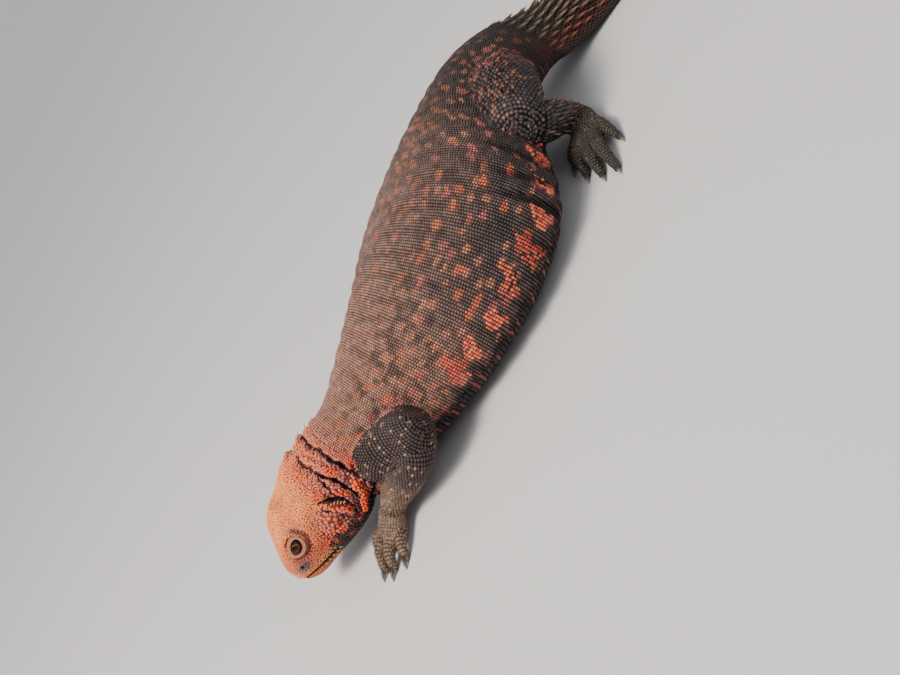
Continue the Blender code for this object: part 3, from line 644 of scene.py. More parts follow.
spots = np.array([corner.co for corner in corners]) / MM
found = [tree.find_n(spot, 4) for spot in spots]
reach = np.array([[item[2] for item in near] for near in found])
nearby = np.array([[item[1] for item in near] for near in found])
weight = 1 / (reach + 0.05)
weight /= weight.sum(1, keepdims=True)
at_near = (grid_at[nearby] * weight).sum(1)
sine, cosine = (np.sin(grid_angle[nearby]) * weight).sum(1), (np.cos(grid_angle[nearby]) * weight).sum(1)
angle_near = np.arctan2(sine, cosine)
on_trunk = reach[:, 0] < 2.0
push = (ridges(at_near, angle_near) - grooves(at_near, angle_near)) * on_trunk
ahead, out, up = head_measures(spots)
line = mouth_height(ahead)
mouth = bell(up - line, MOUTH_WIDTH) * fade(ahead, -2.2, 0.2) * fade(out, 0.2, 1.5) * (up < line + 4)
push -= MOUTH_DEPTH * mouth
for spot in nostrils.values():
    push -= NOSTRIL_DEPTH * bell(np.linalg.norm(spots - spot, axis=1), NOSTRIL_SIZE)
long, tall = oval_measures(ahead, up, EYE_AT, EYE_LEAN)
ring = np.hypot(long / LID_CREASE[0], tall / LID_CREASE[1])
push -= LID_CREASE[3] * bell((ring - 1.3) * 4, LID_CREASE[2] * 2) * (out > 6) * fade(-tall, -2, 0.5)
for corner, depth in zip(corners, push):
    if abs(depth) > 0.02:
        corner.co += corner.normal * float(depth) * MM
for corner in shape.verts:
    corner.co.z = max(corner.co.z, 0)
ground = BVHTree.FromBMesh(shape)
shape.to_mesh(skin.data)
shape.free()
skin.data.shade_smooth()
print("skin", len(skin.data.polygons), "faces")

# %% [markdown]
# ## Markings
#
# The colours belong to the places on the animal and not to one mesh: the skin between two scales shows the
# same spot as the scales do. So one function takes places, and gives colours, and everything asks it. The
# spots are cells of a scattered pattern in the skin's own measure, along the body and round it. The colour
# of each scale is one colour, which is how a real lizard's spots get their stepped edges.

# %% Noise and colour helpers


def linear(red, green, blue):
    """A screen colour from 0 to 255 as the linear light that a shader wants."""
    colour = np.array([red, green, blue]) / 255
    return np.where(colour <= 0.04045, colour / 12.92, ((colour + 0.055) / 1.055) ** 2.4)


def chance(*cells, salt=0):
    """A repeatable number from 0 to 1 for each whole-number cell."""
    total = np.full(np.shape(cells[0]), salt * 2654435761 % 2**32, np.uint64)
    for cell, factor in zip(cells, (73856093, 19349663, 83492791)):
        whole = np.asarray(cell).astype(np.int64).astype(np.uint64)
        total = (total ^ (whole * np.uint64(factor))) & 0xFFFFFFFF
        total = (total * np.uint64(2246822519) ^ (total >> np.uint64(15))) & 0xFFFFFFFF
    return total / 2**32


def noise(place, size, salt=0):
    """Soft noise from 0 to 1 in space, with features of about the given size."""
    place = np.asarray(place) / size
    cell = np.floor(place).astype(int)
    t = place - cell
    t = t * t * (3 - 2 * t)
    total = 0.0
    for corner in range(8):
        step = np.array([corner & 1, corner >> 1 & 1, corner >> 2 & 1])
        weight = np.prod(np.where(step, t, 1 - t), -1)
        total = total + weight * chance(*np.moveaxis(cell + step, -1, 0), salt=salt)
    return total


def scattered(u, v, size_u, size_v, salt=0):
    """Distance to the nearest of scattered centres, in cells, and that centre's own number."""
    cu, cv = np.floor(u / size_u), np.floor(v / size_v)
    best, number = np.full(np.shape(u), 9.0), np.zeros(np.shape(u))
    for du in (-1, 0, 1):
        for dv in (-1, 0, 1):
            iu, iv = cu + du, cv + dv
            pu = iu + 0.5 + 0.62 * (chance(iu, iv, salt=salt) - 0.5)
            pv = iv + 0.5 + 0.62 * (chance(iu, iv, salt=salt + 1) - 0.5)
            far = np.hypot(u / size_u - pu, v / size_v - pv)
            number = np.where(far < best, chance(iu, iv, salt=salt + 2), number)
            best = np.minimum(best, far)
    return best, number


def mix(a, b, weight):
    return a + (b - a) * np.asarray(weight)[..., None]


print("a spot pattern sample", scattered(np.array([3.0]), np.array([4.0]), 8, 8))

# %% The colours of each region
SALMON, CROWN = linear(198, 100, 68), linear(246, 144, 82)
ORANGE, RED, LOBE = linear(214, 88, 44), linear(186, 58, 40), linear(226, 84, 44)
# Painted shade for the grooves of the folds, the opening of the ear and the slit of the mouth.
GROOVE_SHADE = linear(26, 15, 15)
# The colour of the rear is painted shade.
BACK, BACK_REAR_SHADE, BACK_FRONT = linear(108, 85, 76), linear(44, 38, 35), linear(150, 110, 94)
# The lowest flank colour and the belly colour are painted shade; the first also tints the dark blotches.
FLANK, LOW_SHADE_AND_BLOTCH, BELLY_SHADE = linear(78, 66, 64), linear(42, 37, 38), linear(26, 22, 23)
ROSE, OCHRE, SOFT_ORANGE = linear(178, 94, 90), linear(184, 118, 90), linear(210, 104, 66)
BAR, BAR_RED, CREST = linear(202, 106, 78), linear(152, 54, 50), linear(150, 66, 66)
# The tail's own dark red brown, darkened further as painted shade.
TAIL_TOP_SHADED, TAIL_SIDE_SHADED = linear(36, 30, 27), linear(40, 25, 21)
ARM, HAND = linear(56, 43, 42), linear(110, 88, 72)
# The shank and the foot are their own grey, darkened further as painted shadow.
LEG, SHANK_SHADED, FOOT_SHADED = linear(58, 50, 52), linear(42, 41, 43), linear(56, 52, 45)
DOT = linear(168, 122, 104)
NOSTRIL_BLUE, EYE_STRIPE, LID_PLUM = linear(52, 60, 74), linear(98, 84, 76), linear(66, 40, 54)
LIP_YELLOW, LIP_DARK, LILAC = linear(198, 166, 96), linear(40, 33, 36), linear(176, 112, 108)


def near(place, spot, long, tall):
    """1 at a place of the face, fading out round it."""
    ahead, out, up = head_measures(place)
    return bell(np.hypot((ahead - spot[0]) / long, (up - spot[2]) / tall), 1.0) * (out > 4)


def stepped(patch, edge, soft=0.08):
    """1 inside a patch, 0 outside, with a short step between."""
    return fade(-patch, -edge - soft, -edge + soft)


def paint_head(place):
    ahead, out, up = head_measures(place)
    colour = mix(SALMON, CROWN, fade(up, -5, 12))
    colour = colour * (0.8 + 0.4 * noise(place, 2.6, 61))[..., None]
    temple = fade(-up, -3, 5) * fade(-ahead, 2, 8)
    colour = mix(colour, linear(168, 108, 98), 0.5 * (noise(place, 3.6, 64) > 0.56) * temple)
    # The cheek is a patchwork of whole plates: dark, lilac, and orange red.
    patch, number = scattered(ahead + 40 + 0.3 * out, up * 1.1 + out * 0.4 + 40, 3.3, 2.9, salt=3)
    edge = patch + 0.35 * (noise(place, 1.1, 66) - 0.5)
    cheek = fade(-up, 4.5, 10.5) * fade(-ahead, -3, 3)
    colour = mix(colour, mix(ORANGE, SALMON, 0.4), 0.7 * cheek)
    colour = mix(colour, RED, 0.9 * cheek * (number > 0.66) * stepped(edge, 0.5))
    rear = fade(-up, 0, 6) * fade(-ahead, 5, 9)
    colour = mix(colour, LILAC, 0.75 * rear * (number < 0.3) * stepped(edge, 0.5))
    dark = (np.abs(number - 0.44) < 0.14) * stepped(edge, 0.52)
    colour = mix(colour, LIP_DARK, 0.9 * np.maximum(cheek, 0.8 * rear) * dark)
    jaw = fade(-up, 10.5, 14.5) * fade(-ahead, -4, 2)
    colour = mix(colour, LIP_DARK, 0.94 * jaw * (1 - 0.8 * (number > 0.74) * stepped(edge, 0.44)))
    blot = bell(np.hypot((ahead + 14.5) / 2.6, (up + 9.5) / 2.2), 1.0) * (out > 8)
    colour = mix(colour, LIP_DARK, 0.8 * blot)
    # Painted shade under the throat.
    colour = mix(colour, LIP_DARK, 0.85 * fade(-up, 16, 19) * fade(-ahead, -12, -2))
    shade = (NOSTRIL_AT[0] - 0.8, NOSTRIL_AT[1], NOSTRIL_AT[2] - 0.6)
    colour = mix(colour, NOSTRIL_BLUE, 0.95 * near(place, shade, 3.4, 2.1))
    under_eye = bell(np.hypot((ahead - 4.6) / 3.4, (up + 1.6) / 2.0), 1.0) * (out > 5)
    colour = mix(colour, mix(EYE_STRIPE, LID_PLUM, 0.5), 0.6 * under_eye)
    colour = mix(colour, linear(236, 178, 146), 0.6 * fade(ahead, 11.5, 15.5) * fade(up, -9, -4))
    stripe = bell(ahead + 5.6, 2.3) * bell(up - 5.0 - 0.35 * (ahead + 5.6), 1.4)
    colour = mix(colour, EYE_STRIPE, 0.8 * stripe * (out > 6))
    long, tall = oval_measures(ahead, up, EYE_AT, EYE_LEAN)
    ring = np.hypot(long / 5.4, tall / 4.4)
    colour = mix(colour, LID_PLUM, 0.85 * bell(ring - 1.04, 0.16) * fade(-tall, -1.5, 1.5) * (out > 7))
    line = mouth_height(ahead)
    lips = bell(up - line, 2.5) * fade(ahead, -3.5, -0.5) * fade(-ahead, -10, -4) * (out > 2)
    bars = np.floor(ahead / LIP_STEP) % 2
    colour = mix(colour, mix(LIP_YELLOW, LIP_DARK, bars), 0.9 * lips)
    colour = mix(colour, mix(LIP_YELLOW, CROWN, 0.5), 0.5 * bell(up - line - 1.2, 2.0) * fade(ahead, 5, 9))
    # Painted shade in the opening of the ear.
    colour = mix(colour, GROOVE_SHADE, 0.95 * near(place, EAR_AT, 1.5, 4.2) * (out < 17.0))
    # Painted shade along the slit of the mouth.
    return mix(colour, GROOVE_SHADE, 0.95 * bell(up - line, 0.45) * fade(ahead, -2, 0) * (out > 0.5))


def paint_neck(place, angle):
    lift = lift_of(angle)
    colour = mix(mix(SALMON, ROSE, 0.5), mix(CROWN, SALMON, 0.6), fade(lift, 20, 70))
    colour = mix(colour, LILAC, 0.6 * (noise(place, 2.6, 69) > 0.56) * fade(-lift, -56, -36))
    colour = mix(colour, LIP_DARK, 0.85 * (noise(place, 2.2, 62) > 0.58) * fade(-lift, -40, -14))
    # Painted shade on the underside of the neck.
    return mix(colour, LIP_DARK, 0.7 * fade(-lift, -2, 20))


def paint_folds(colour, at, angle):
    """Orange on the ridges of the loose skin, and painted shade in its grooves."""
    lift = lift_of(angle)
    tint = mix(LOBE, SALMON, fade(lift, 34, 56))
    colour = mix(colour, tint, 0.95 * fade(ridges(at, angle), 0.35, 0.9))
    deep = grooves(at, angle)
    return mix(mix(colour, LILAC, 0.5 * fade(deep, 0.1, 0.4)), GROOVE_SHADE, 0.94 * fade(deep, 0.5, 1.3))


def bars_at(at, around, lift, place):
    """Upright patches of swollen bright scales low on the flank, and each one's own number."""
    run = (at + 300 + 1.6 * np.sin(around / 3.1)) / 9.6
    number, wide = np.floor(run), np.abs(run % 1 - 0.5)
    own = chance(number, salt=33)
    middle, half = 5 - 7 * chance(number, salt=34), 8 + 7 * own
    lens = np.hypot(wide / (0.24 + 0.12 * own), (lift - middle) / half) + 0.7 * (noise(place, 2.2, 5) - 0.5)
    bars = fade(-lens, -1.0, -0.84) * fade(at, -40, -22) * fade(-at, -78, -66)
    return bars * (noise(place, 1.5, 35) > 0.33), own


def around_of(at, angle):
    turn = (angle + math.pi / 2) % (2 * math.pi) - math.pi / 2
    return turn * smooth(SPINE, at)[..., 7] * 0.9 + 200


def paint_trunk(place, at, angle):
    lift, around = lift_of(angle), around_of(at, angle)
    front = fade(-at, -10, 50)
    colour = mix(FLANK, BACK, fade(lift, 14, 60))
    colour = mix(colour, BACK_FRONT, 0.8 * front * fade(lift, -30, 10))
    # Painted shade: the trunk darkens towards the hips.
    colour = mix(colour, BACK_REAR_SHADE, 0.95 * fade(at, 4, 86))
    # Painted shade: the flank darkens towards the belly.
    colour = mix(colour, LOW_SHADE_AND_BLOTCH, fade(-lift, 0, 28) * (1 - 0.4 * front))
    colour = colour * (0.62 + 0.76 * noise(place, 1.7, 63))[..., None]
    # Soft dark blotches of a few scales.
    dark = fade(noise(place, 3.0, 67), 0.5, 0.64) * fade(-lift, -76, -50)
    colour = mix(colour, LOW_SHADE_AND_BLOTCH * 1.3, (0.35 + 0.3 * front) * dark)
    # Small spots of whole scales: rose, ochre or orange, ring-like and close together at the shoulder.
    patch, number = scattered(at + 300, around, 5.2, 4.7, salt=21)
    kind = chance(np.floor(number * 997), np.floor(number * 313), salt=4)
    edge = patch + 0.26 * (noise(place, 1.2, 65) - 0.5)
    size = 0.2 + 0.16 * kind + 0.06 * front
    spot = stepped(edge, size, 0.05) * (number > 0.34 - 0.14 * front)
    hole = stepped(edge, size * 0.42) * (number > 0.66) * front
    tint = mix(mix(OCHRE, ROSE, stepped(-kind, -0.5, 0.02)), SOFT_ORANGE, 0.8 * (kind > 0.8))
    tint = mix(tint, OCHRE, 0.5 * fade(lift, 34, 60))
    strength = (0.45 + 0.5 * number) * (1 - 0.5 * fade(lift, 44, 72)) * (1 - 0.45 * fade(at, 30, 80))
    colour = mix(colour, tint, spot * (1 - 0.8 * hole) * strength)
    bars, own = bars_at(at, around, lift, place)
    grain = chance(*np.moveaxis(np.round(place * 1.1), -1, 0), salt=9)
    glow = mix(mix(BAR, BAR_RED, (own > 0.7) * 0.45), BAR_RED, 0.8 * (grain > 0.66))
    colour = mix(colour, glow, 0.92 * bars)
    # In front of the thigh the crests between the folds are red.
    crest = fade(flank_folds(at + 3.3, angle), 0.5, 1.5) * fade(at, 36, 50) * bell(lift - 8, 26)
    colour = mix(colour, CREST, 0.75 * crest * (noise(place, 3.4, 36) > 0.46))
    # The belly is painted dark as shade, with narrow bars of one row of scales.
    under = fade(-lift, 9, 17)
    stripe = (np.abs((at / 3.6) % 1 - 0.5) < 0.16) * (noise(place, 4.0, 68) > 0.4)
    colour = mix(colour, mix(BELLY_SHADE, ROSE, 0.3 * stripe), 0.92 * under)
    # Painted shade in the grooves of the flank folds.
    colour = colour * (1 - 0.5 * fade(flank_folds(at, angle), 0.25, 1.6))[..., None]
    shoulder = fade(-at, 54, 66) * (0.25 + 0.75 * (noise(place, 2.4, 6) > 0.5))
    return mix(colour, mix(SALMON, BACK_FRONT, 0.6), 0.6 * shoulder)


def paint_tail(place, at, angle):
    lift = lift_of(angle)
    # The tail's own dark brown with painted shade over it.
    colour = mix(TAIL_SIDE_SHADED, TAIL_TOP_SHADED, fade(lift, -10, 34))
    colour = mix(colour, linear(78, 38, 28), 0.5 * bell(lift + 8, 22) * (noise(place, 5.0, 44) > 0.4))
    # Painted shade under the tail.
    colour = mix(colour, BELLY_SHADE, fade(-lift, 34, 58))
    band = 0.5 + 0.5 * np.sin(2 * math.pi * at / 17)
    colour = mix(colour, colour * 0.5, 0.35 * band)
    return mix(paint_trunk(place, np.minimum(at, VENT + 12), angle), colour, fade(at, VENT - 22, VENT + 4))


def paint_limb(place, zone, at, angle):
    # The shank and foot colours hold painted shadow.
    base = {"arm": ARM, "forearm": ARM, "hand": HAND, "thigh": LEG, "shank": SHANK_SHADED, "foot": FOOT_SHADED}[zone]
    colour = np.broadcast_to(base, place.shape).copy()
    if zone == "arm":
        shoulder = fade(-at, -5, 3) * (noise(place, 2.4, 11) > 0.46)
        colour = mix(colour, mix(SALMON, BACK_FRONT, 0.5), 0.6 * shoulder)
    if zone == "forearm":
        colour = mix(colour, HAND, fade(at, 12, 28))
    if zone == "thigh":
        rear = bell(angle - 1.1, 0.95)
        rear = rear * fade(-at, -22, -8) * (noise(place, 2.6, 13) > 0.6)
        colour = mix(colour, mix(ORANGE, OCHRE, 0.5), 0.5 * rear)
        colour = mix(colour, OCHRE, 0.3 * (noise(place, 2.2, 12) > 0.68))
        colour = mix(colour, LIP_YELLOW, 0.4 * bell(angle - 3.6, 0.5) * fade(at, 16, 26))
    if zone == "shank":
        colour = mix(colour, FOOT_SHADED, fade(at, 20, 30))
    cell = place / 2.6
    spots = chance(*np.moveaxis(np.floor(cell), -1, 0))
    centre = np.max(np.abs(cell - np.floor(cell) - 0.5), -1)
    fore = zone in ("arm", "forearm")
    dots = (spots > (0.42 if fore else 0.7)) * (centre < 0.26)
    colour = mix(colour, DOT, dots * (0.6 if fore else 0.2))
    return colour * (0.72 + 0.56 * chance(*np.moveaxis(np.round(place * 1.4), -1, 0), salt=8))[..., None]


def paint(place, zone, at, angle):
    """The colour of each place; zone is the region's name, at and angle its place on the loft."""
    if zone == "trunk":
        colour = paint_trunk(place, at, angle)
        colour = mix(colour, paint_tail(place, at, angle), fade(at, VENT - 24, VENT - 20))
        colour = mix(paint_neck(place, angle), colour, fade(at, NECK_END - 3, NECK_END + 4))
        colour = mix(paint_head(place), colour, fade(at, NECK_START - 1, NECK_START + 3))
        colour = paint_folds(colour, at, angle)
    else:
        colour = paint_limb(place, zone, at, angle)
    return colour * (0.84 + 0.32 * noise(place, 5.0, 40))[..., None]


print("colours ready")

# %% [markdown]
# ## Painting the skin
#
# Each corner of the skin asks the nearest point of the lofts where on the animal it is, and takes the colour
# from there. The skin shows only in the gaps between the scales, and it is painted darker there as shade.

# %% Colour of the skin
ZONES = {"arm": ("arm", "forearm", "hand"), "leg": ("thigh", "shank", "foot")}
places, labels = [], []


def note(zone, at, angle, place):
    places.append(place)
    labels.extend((zone, a, b) for a, b in zip(at, angle))


def grid(end, step):
    """Stations and angles all over a tube."""
    at, angle = np.meshgrid(np.arange(0, end, 1.2), np.radians(np.arange(0, 360, step)))
    return at.ravel(), angle.ravel()


steps = np.concatenate([np.arange(SNOUT, NECK_END, 0.5), np.arange(NECK_END, TAIL_TIP, 1.5)])
grid_at, grid_angle = (part.ravel() for part in np.meshgrid(steps, np.radians(np.arange(-180, 180, 3.0))))
note("trunk", grid_at, grid_angle, scaled_skin(grid_at, grid_angle, UNDER_SCALES))
for name, tubes in LIMB_TUBES.items():
    for zone, rows in zip(ZONES[name[:3]], tubes):
        at, angle = grid(rows[-1, 0], 12)
        note(zone, at, angle, limb_skin(rows, at, angle, UNDER_SCALES))
    for rows in TOE_TUBES[name]:
        at, angle = grid(rows[-1, 0], 30)
        note(ZONES[name[:3]][2], at, angle, limb_skin(rows, at, angle))
tree = search_tree(np.concatenate(places))


def set_colour(mesh, colour):
    """Store a colour for each corner of a mesh as the attribute that the finishes read."""
    layer = mesh.color_attributes.new("Paint", "FLOAT_COLOR", "POINT")
    rgba = np.ones((len(mesh.vertices), 4), np.float32)
    rgba[:, :3] = np.clip(colour, 0, 1)
    layer.data.foreach_set("color", rgba.ravel())


corners = corners_of(skin.data) / MM
nearest = np.array([tree.find(corner)[1] for corner in corners])
colour = np.zeros_like(corners)
zone_of = np.array([label[0] for label in labels])[nearest]
at_of = np.array([label[1] for label in labels])[nearest]
angle_of = np.array([label[2] for label in labels])[nearest]
for zone in np.unique(zone_of):
    here = zone_of == zone
    colour[here] = paint(corners[here], zone, at_of[here], angle_of[here])
# Painted shade: the skin between the scales gets about a third of the scales' colour.
GAP_SHADE = 0.34
set_colour(skin.data, colour * GAP_SHADE)
print("skin painted from", len(labels), "places")

# %% [markdown]
# ## Finishes
#
# A scale is horn: a hard, slightly glossy surface with fine scratches, so its finish is a low bump and a
# middling roughness over the painted colour. A finer speckle is mixed in from the object's own coordinates,
# so that no two scales look printed.

# %% Materials


def set_inputs(node, values):
    """Set some inputs of a shader node by their names."""
    for name, value in values.items():
        node.inputs[name].default_value = value


def finish(name, roughness, bump, speckle=0.25, gloss=0.3):
    """A Principled finish that reads the painted colour, with speckle and bump from noise."""
    made = bpy.data.materials.new(name)
    made.use_nodes = True
    nodes, links = made.node_tree.nodes, made.node_tree.links
    shader = nodes["Principled BSDF"]
    place = nodes.new("ShaderNodeTexCoord")
    grain = nodes.new("ShaderNodeTexNoise")
    set_inputs(grain, {"Scale": 1400, "Detail": 3})
    links.new(place.outputs["Object"], grain.inputs["Vector"])
    tone = nodes.new("ShaderNodeMapRange")
    set_inputs(tone, {"To Min": 1 - speckle, "To Max": 1 + speckle})
    links.new(grain.outputs["Fac"], tone.inputs["Value"])
    scale = nodes.new("ShaderNodeVectorMath")
    scale.operation = "SCALE"
    links.new(tone.outputs["Result"], scale.inputs["Scale"])
    paint_node = nodes.new("ShaderNodeAttribute")
    paint_node.attribute_name = "Paint"
    links.new(paint_node.outputs["Color"], scale.inputs[0])
    links.new(scale.outputs["Vector"], shader.inputs["Base Color"])
    relief_node = nodes.new("ShaderNodeBump")
    set_inputs(relief_node, {"Strength": bump, "Distance": 0.0002})
    links.new(grain.outputs["Fac"], relief_node.inputs["Height"])
    links.new(relief_node.outputs["Normal"], shader.inputs["Normal"])
    set_inputs(shader, {"Roughness": roughness, "Specular IOR Level": gloss})
    return made


skin_finish = finish("skin_between_scales", 0.85, 0.3, gloss=0.15)
scale_finish = finish("horn_scales", 0.52, 0.35)
skin.data.materials.append(skin_finish)
FLESH = [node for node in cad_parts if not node.startswith("eye_")]
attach(skin, "root")
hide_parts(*FLESH)
print("skin stands for", len(FLESH), "nodes")

# %% [markdown]
# ## Templates for the scales
#
# Three shapes are enough. A granule is a six-sided bead. A keeled scale is a tile with a ridge that rises to
# a point at the rear. A thorn is a cone in four rings that curves back. Each is extruded from a circle, has
# its own closed underside, and carries for each corner its height, which sets how much painted shade it takes
# at the scale's foot and how much of the tip's colour it takes.

# %% Three templates


def stack(levels, sides=6):
    """A closed form of stacked rings: each level gives height, width, length, and shift to the rear."""
    shape = bmesh.new()
    made = bmesh.ops.create_circle(shape, cap_ends=True, segments=sides, radius=1)
    ring = made["verts"]
    before = (0, 1, 1, 0)
    for count, (height, wide, long, rear) in enumerate(levels):
        if count:
            top = [face for face in shape.faces if all(v in ring for v in face.verts)]
            made = bmesh.ops.extrude_face_region(shape, geom=top)
            ring = [item for item in made["geom"] if isinstance(item, bmesh.types.BMVert)]
        bmesh.ops.translate(shape, verts=ring, vec=(0, -before[3], -before[0]))
        bmesh.ops.scale(shape, verts=ring, vec=(wide / before[1], long / before[2], 1))
        bmesh.ops.translate(shape, verts=ring, vec=(0, rear, height))
        before = (height, wide, long, rear)
    return shape, ring


def template(levels, peak, sides=6):
    """The stack with its last ring closed by a point at peak = (rear, height), as arrays."""
    shape, ring = stack(levels, sides)
    top = [face for face in shape.faces if all(v in ring for v in face.verts)]
    middle = bmesh.ops.poke(shape, faces=top)["verts"][0]
    middle.co = (0, *peak)
    bmesh.ops.triangulate(shape, faces=shape.faces)
    bmesh.ops.recalc_face_normals(shape, faces=shape.faces)
    shape.verts.index_update()
    spots = np.array([v.co for v in shape.verts])
    faces = np.array([[v.index for v in face.verts] for face in shape.faces])
    shape.free()
    height = np.clip(spots[:, 2] / peak[1], 0, 1)
    print("template with", len(faces), "triangles, height", spots[:, 2].max())
    return {"spots": spots, "faces": faces, "height": height}


GRANULE = template(((-0.5, 1.0, 1.0, 0), (0.5, 0.84, 0.84, 0.02)), (0.06, 1.0))
KEELED = template(((-0.5, 1.0, 1.1, 0), (0.3, 0.92, 1.0, 0.08), (0.6, 0.5, 0.72, 0.4)), (1.2, 1.0))
THORN_LEVELS = (
    (-0.3, 1.0, 0.36, 0),
    (0.14, 0.86, 0.33, 0.04),
    (0.46, 0.58, 0.24, 0.24),
    (0.78, 0.3, 0.12, 0.54),
)
THORN = template(THORN_LEVELS, (0.86, 1.0), 7)

# %% [markdown]
# ## Rows of scales
#
# Scales grow in rings round the body, every other ring shifted by half a scale, like bricks. For each ring
# the section is measured, divided evenly, and each place gets its own frame: across, along and outwards.
# The places are then settled on the melted skin, and those that ended up inside another part are dropped.

# %% Places in rows
# FULL starts under the belly and ROUND at a leg's side. Steps of GOLDEN spread places without making rows.
FULL, ROUND = (-math.pi / 2, 1.5 * math.pi), (0, 2 * math.pi)
GOLDEN = 0.618


def stations(start, end, pitch, rate):
    """Stations whose real distance follows pitch(at); rate(at) is millimetres for each unit of station."""
    found = [start]
    while found[-1] < end:
        found.append(found[-1] + pitch(found[-1]) / rate(found[-1]))
    return found[:-1]


def girth(surface, at, span):
    angle = np.linspace(*span, 241)
    points = surface(np.full(241, at), angle)
    return angle, np.concatenate([[0], np.cumsum(np.linalg.norm(np.diff(points, axis=0), axis=1))])


def lay_rows(surface, found, across, span, wobble=0.06):
    """Places in rings: for each its station, angle, width and the pitch to the next ring."""
    rows = []
    for count, at in enumerate(found):
        angle, run = girth(surface, at, span)
        wide = across(at)
        number = max(3, round(run[-1] / wide))
        step = run[-1] / number
        spots = (np.arange(number) + 0.25 + 0.5 * (count % 2) + draw.uniform(-wobble, wobble, number)) * step
        pitch = (found[count + 1] if count + 1 < len(found) else 2 * at - found[count - 1]) - at
        turn = np.interp(spots, run, angle)
        same = np.ones(number)
        rows.append(np.column_stack([at * same, turn, step * same, abs(pitch) * same]))
    return np.concatenate(rows)


def frames(surface, at, angle):
    """Across, along and outward directions of the surface at each place."""
    place = surface(at, angle)
    along = surface(at + 0.4, angle) - surface(at - 0.4, angle)
    across = surface(at, angle + 0.03) - surface(at, angle - 0.03)
    along /= np.linalg.norm(along, axis=-1, keepdims=True) + 1e-9
    out = np.cross(along, across)
    out /= np.linalg.norm(out, axis=-1, keepdims=True) + 1e-9
    middle = (place + surface(at, angle + math.pi)) / 2
    out *= np.sign(np.sum(out * (place - middle), -1, keepdims=True))
    across = np.cross(along, out)
    return place, across, along, out


# How far a place may be from the skin, in millimetres, and the places that carry a scale so far.
SETTLE = 1.6
planted = []


def room(place, spacing):
    """Which places have no scale of an earlier piece within the spacing."""
    if not planted:
        return np.ones(len(place), bool)
    tree = search_tree(np.concatenate(planted))
    return np.array([tree.find(spot)[2] > gap for spot, gap in zip(place, spacing)])


def settle(place, out):
    """Move places onto the skin; those too far from it are inside another part."""
    kept = np.zeros(len(place), bool)
    moved, facing = place.copy(), out.copy()
    for index, spot in enumerate(place):
        found, normal, _, far = ground.find_nearest(Vector(spot * MM))
        if found is not None and far < SETTLE * MM and normal.dot(Vector(out[index])) > 0.1:
            kept[index] = True
            moved[index] = np.array(found) / MM
            facing[index] = out[index] * 0.7 + np.array(normal) * 0.3
    return kept, moved, unit(facing)


def plant(name, sets):
    """Copies of templates joined into one piece. Each set gives a template and arrays for its copies."""
    spots, faces, colours, maps, total = [], [], [], [], 0
    for form, place, across, along, out, size, tint, tip, patch in sets:
        base = form["spots"]
        body = (base[None, :, 0:1] * (across * size[:, :1])[:, None, :]
                + base[None, :, 1:2] * (along * size[:, 1:2])[:, None, :]
                + base[None, :, 2:3] * (out * size[:, 2:3])[:, None, :] + place[:, None, :])
        body[..., 2] = np.maximum(body[..., 2], 0.04)
        count, corners_each = len(place), len(base)
        # Painted shade: each scale is darker towards its foot, and towards its top it takes the tip colour.
        shade = (0.3 + 0.7 * np.minimum(form["height"] * 2.0, 1))[None, :, None]
        toward = np.clip(form["height"] * 1.6 - 0.6, 0, 1)[None, :, None]
        colours.append((tint[:, None, :] * shade * (1 - toward) + tip[:, None, :] * toward).reshape(-1, 3))
        start = corners_each * np.arange(count)[:, None, None] + total
        faces.append((form["faces"][None] + start).reshape(-1, 3))
        around = base[:, :2] / np.abs(base[:, :2]).max() * PATCH
        spread = patch[:, None, :] + around[None]
        maps.append(spread[:, form["faces"]].reshape(-1, 2))
        spots.append(body.reshape(-1, 3))
        total += count * corners_each
    spots, faces = np.concatenate(spots), np.concatenate(faces)
    mesh = bpy.data.meshes.new(name)
    mesh.vertices.add(len(spots))
    mesh.vertices.foreach_set("co", (spots * MM).astype(np.float32).ravel())
    mesh.loops.add(len(faces) * 3)
    mesh.loops.foreach_set("vertex_index", faces.astype(np.int32).ravel())
    mesh.polygons.add(len(faces))
    mesh.polygons.foreach_set("loop_start", np.arange(0, len(faces) * 3, 3, dtype=np.int32))
    mesh.update(calc_edges=True)
    mesh.validate()
    mesh.shade_smooth()
    set_colour(mesh, np.concatenate(colours))
    layer = mesh.uv_layers.new(name="OFBake")
    layer.data.foreach_set("uv", np.concatenate(maps).astype(np.float32).ravel())
    mesh.materials.append(scale_finish)
    made = new_object(name, mesh)
    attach(made, "root")
    print(name, len(faces), "triangles in", sum(len(s[1]) for s in sets), "scales")


# Half the size of one scale on the unwrap.
PATCH = 0.0014


def patch_of(first, last, at, span, angle):
    """Each scale's place on an unwrap of the skin: along it, and round it."""
    along = (at - first) / (last - first)
    around = (angle - span[0]) / (span[1] - span[0])
    return np.column_stack([0.02 + 0.96 * along, 0.02 + 0.96 * around])


# %% [markdown]
# ## The trunk's beads
#
# The trunk has some twenty thousand beads in rings. Each ring is divided by the beads' own width, so rings
# gain and lose a bead now and then, as real ones do. Four pieces keep each mesh light enough to handle.

# %% Trunk scales
BACK_SPAN = {
    "scales_left": (-0.34, 0.62),
    "scales_back_left": (0.62, 1.57),
    "scales_back_right": (1.57, 2.52),
    "scales_right": (2.52, 3.48),
}
BELLY_SPAN = (3.48, 2 * math.pi - 0.34)
BELLY_WIDTH, BELLY_PITCH = 1.5, 1.55


def bead_width(at):
    return 0.9 + 0.14 * fade(at, -66, -30) - 0.1 * fade(at, 50, 90)


def trunk_rate(at):
    step = body_skin(np.array([at - 1, at + 1.0]), math.pi / 2)
    return max(np.linalg.norm(np.diff(step, axis=0)) / 2, 1.0)


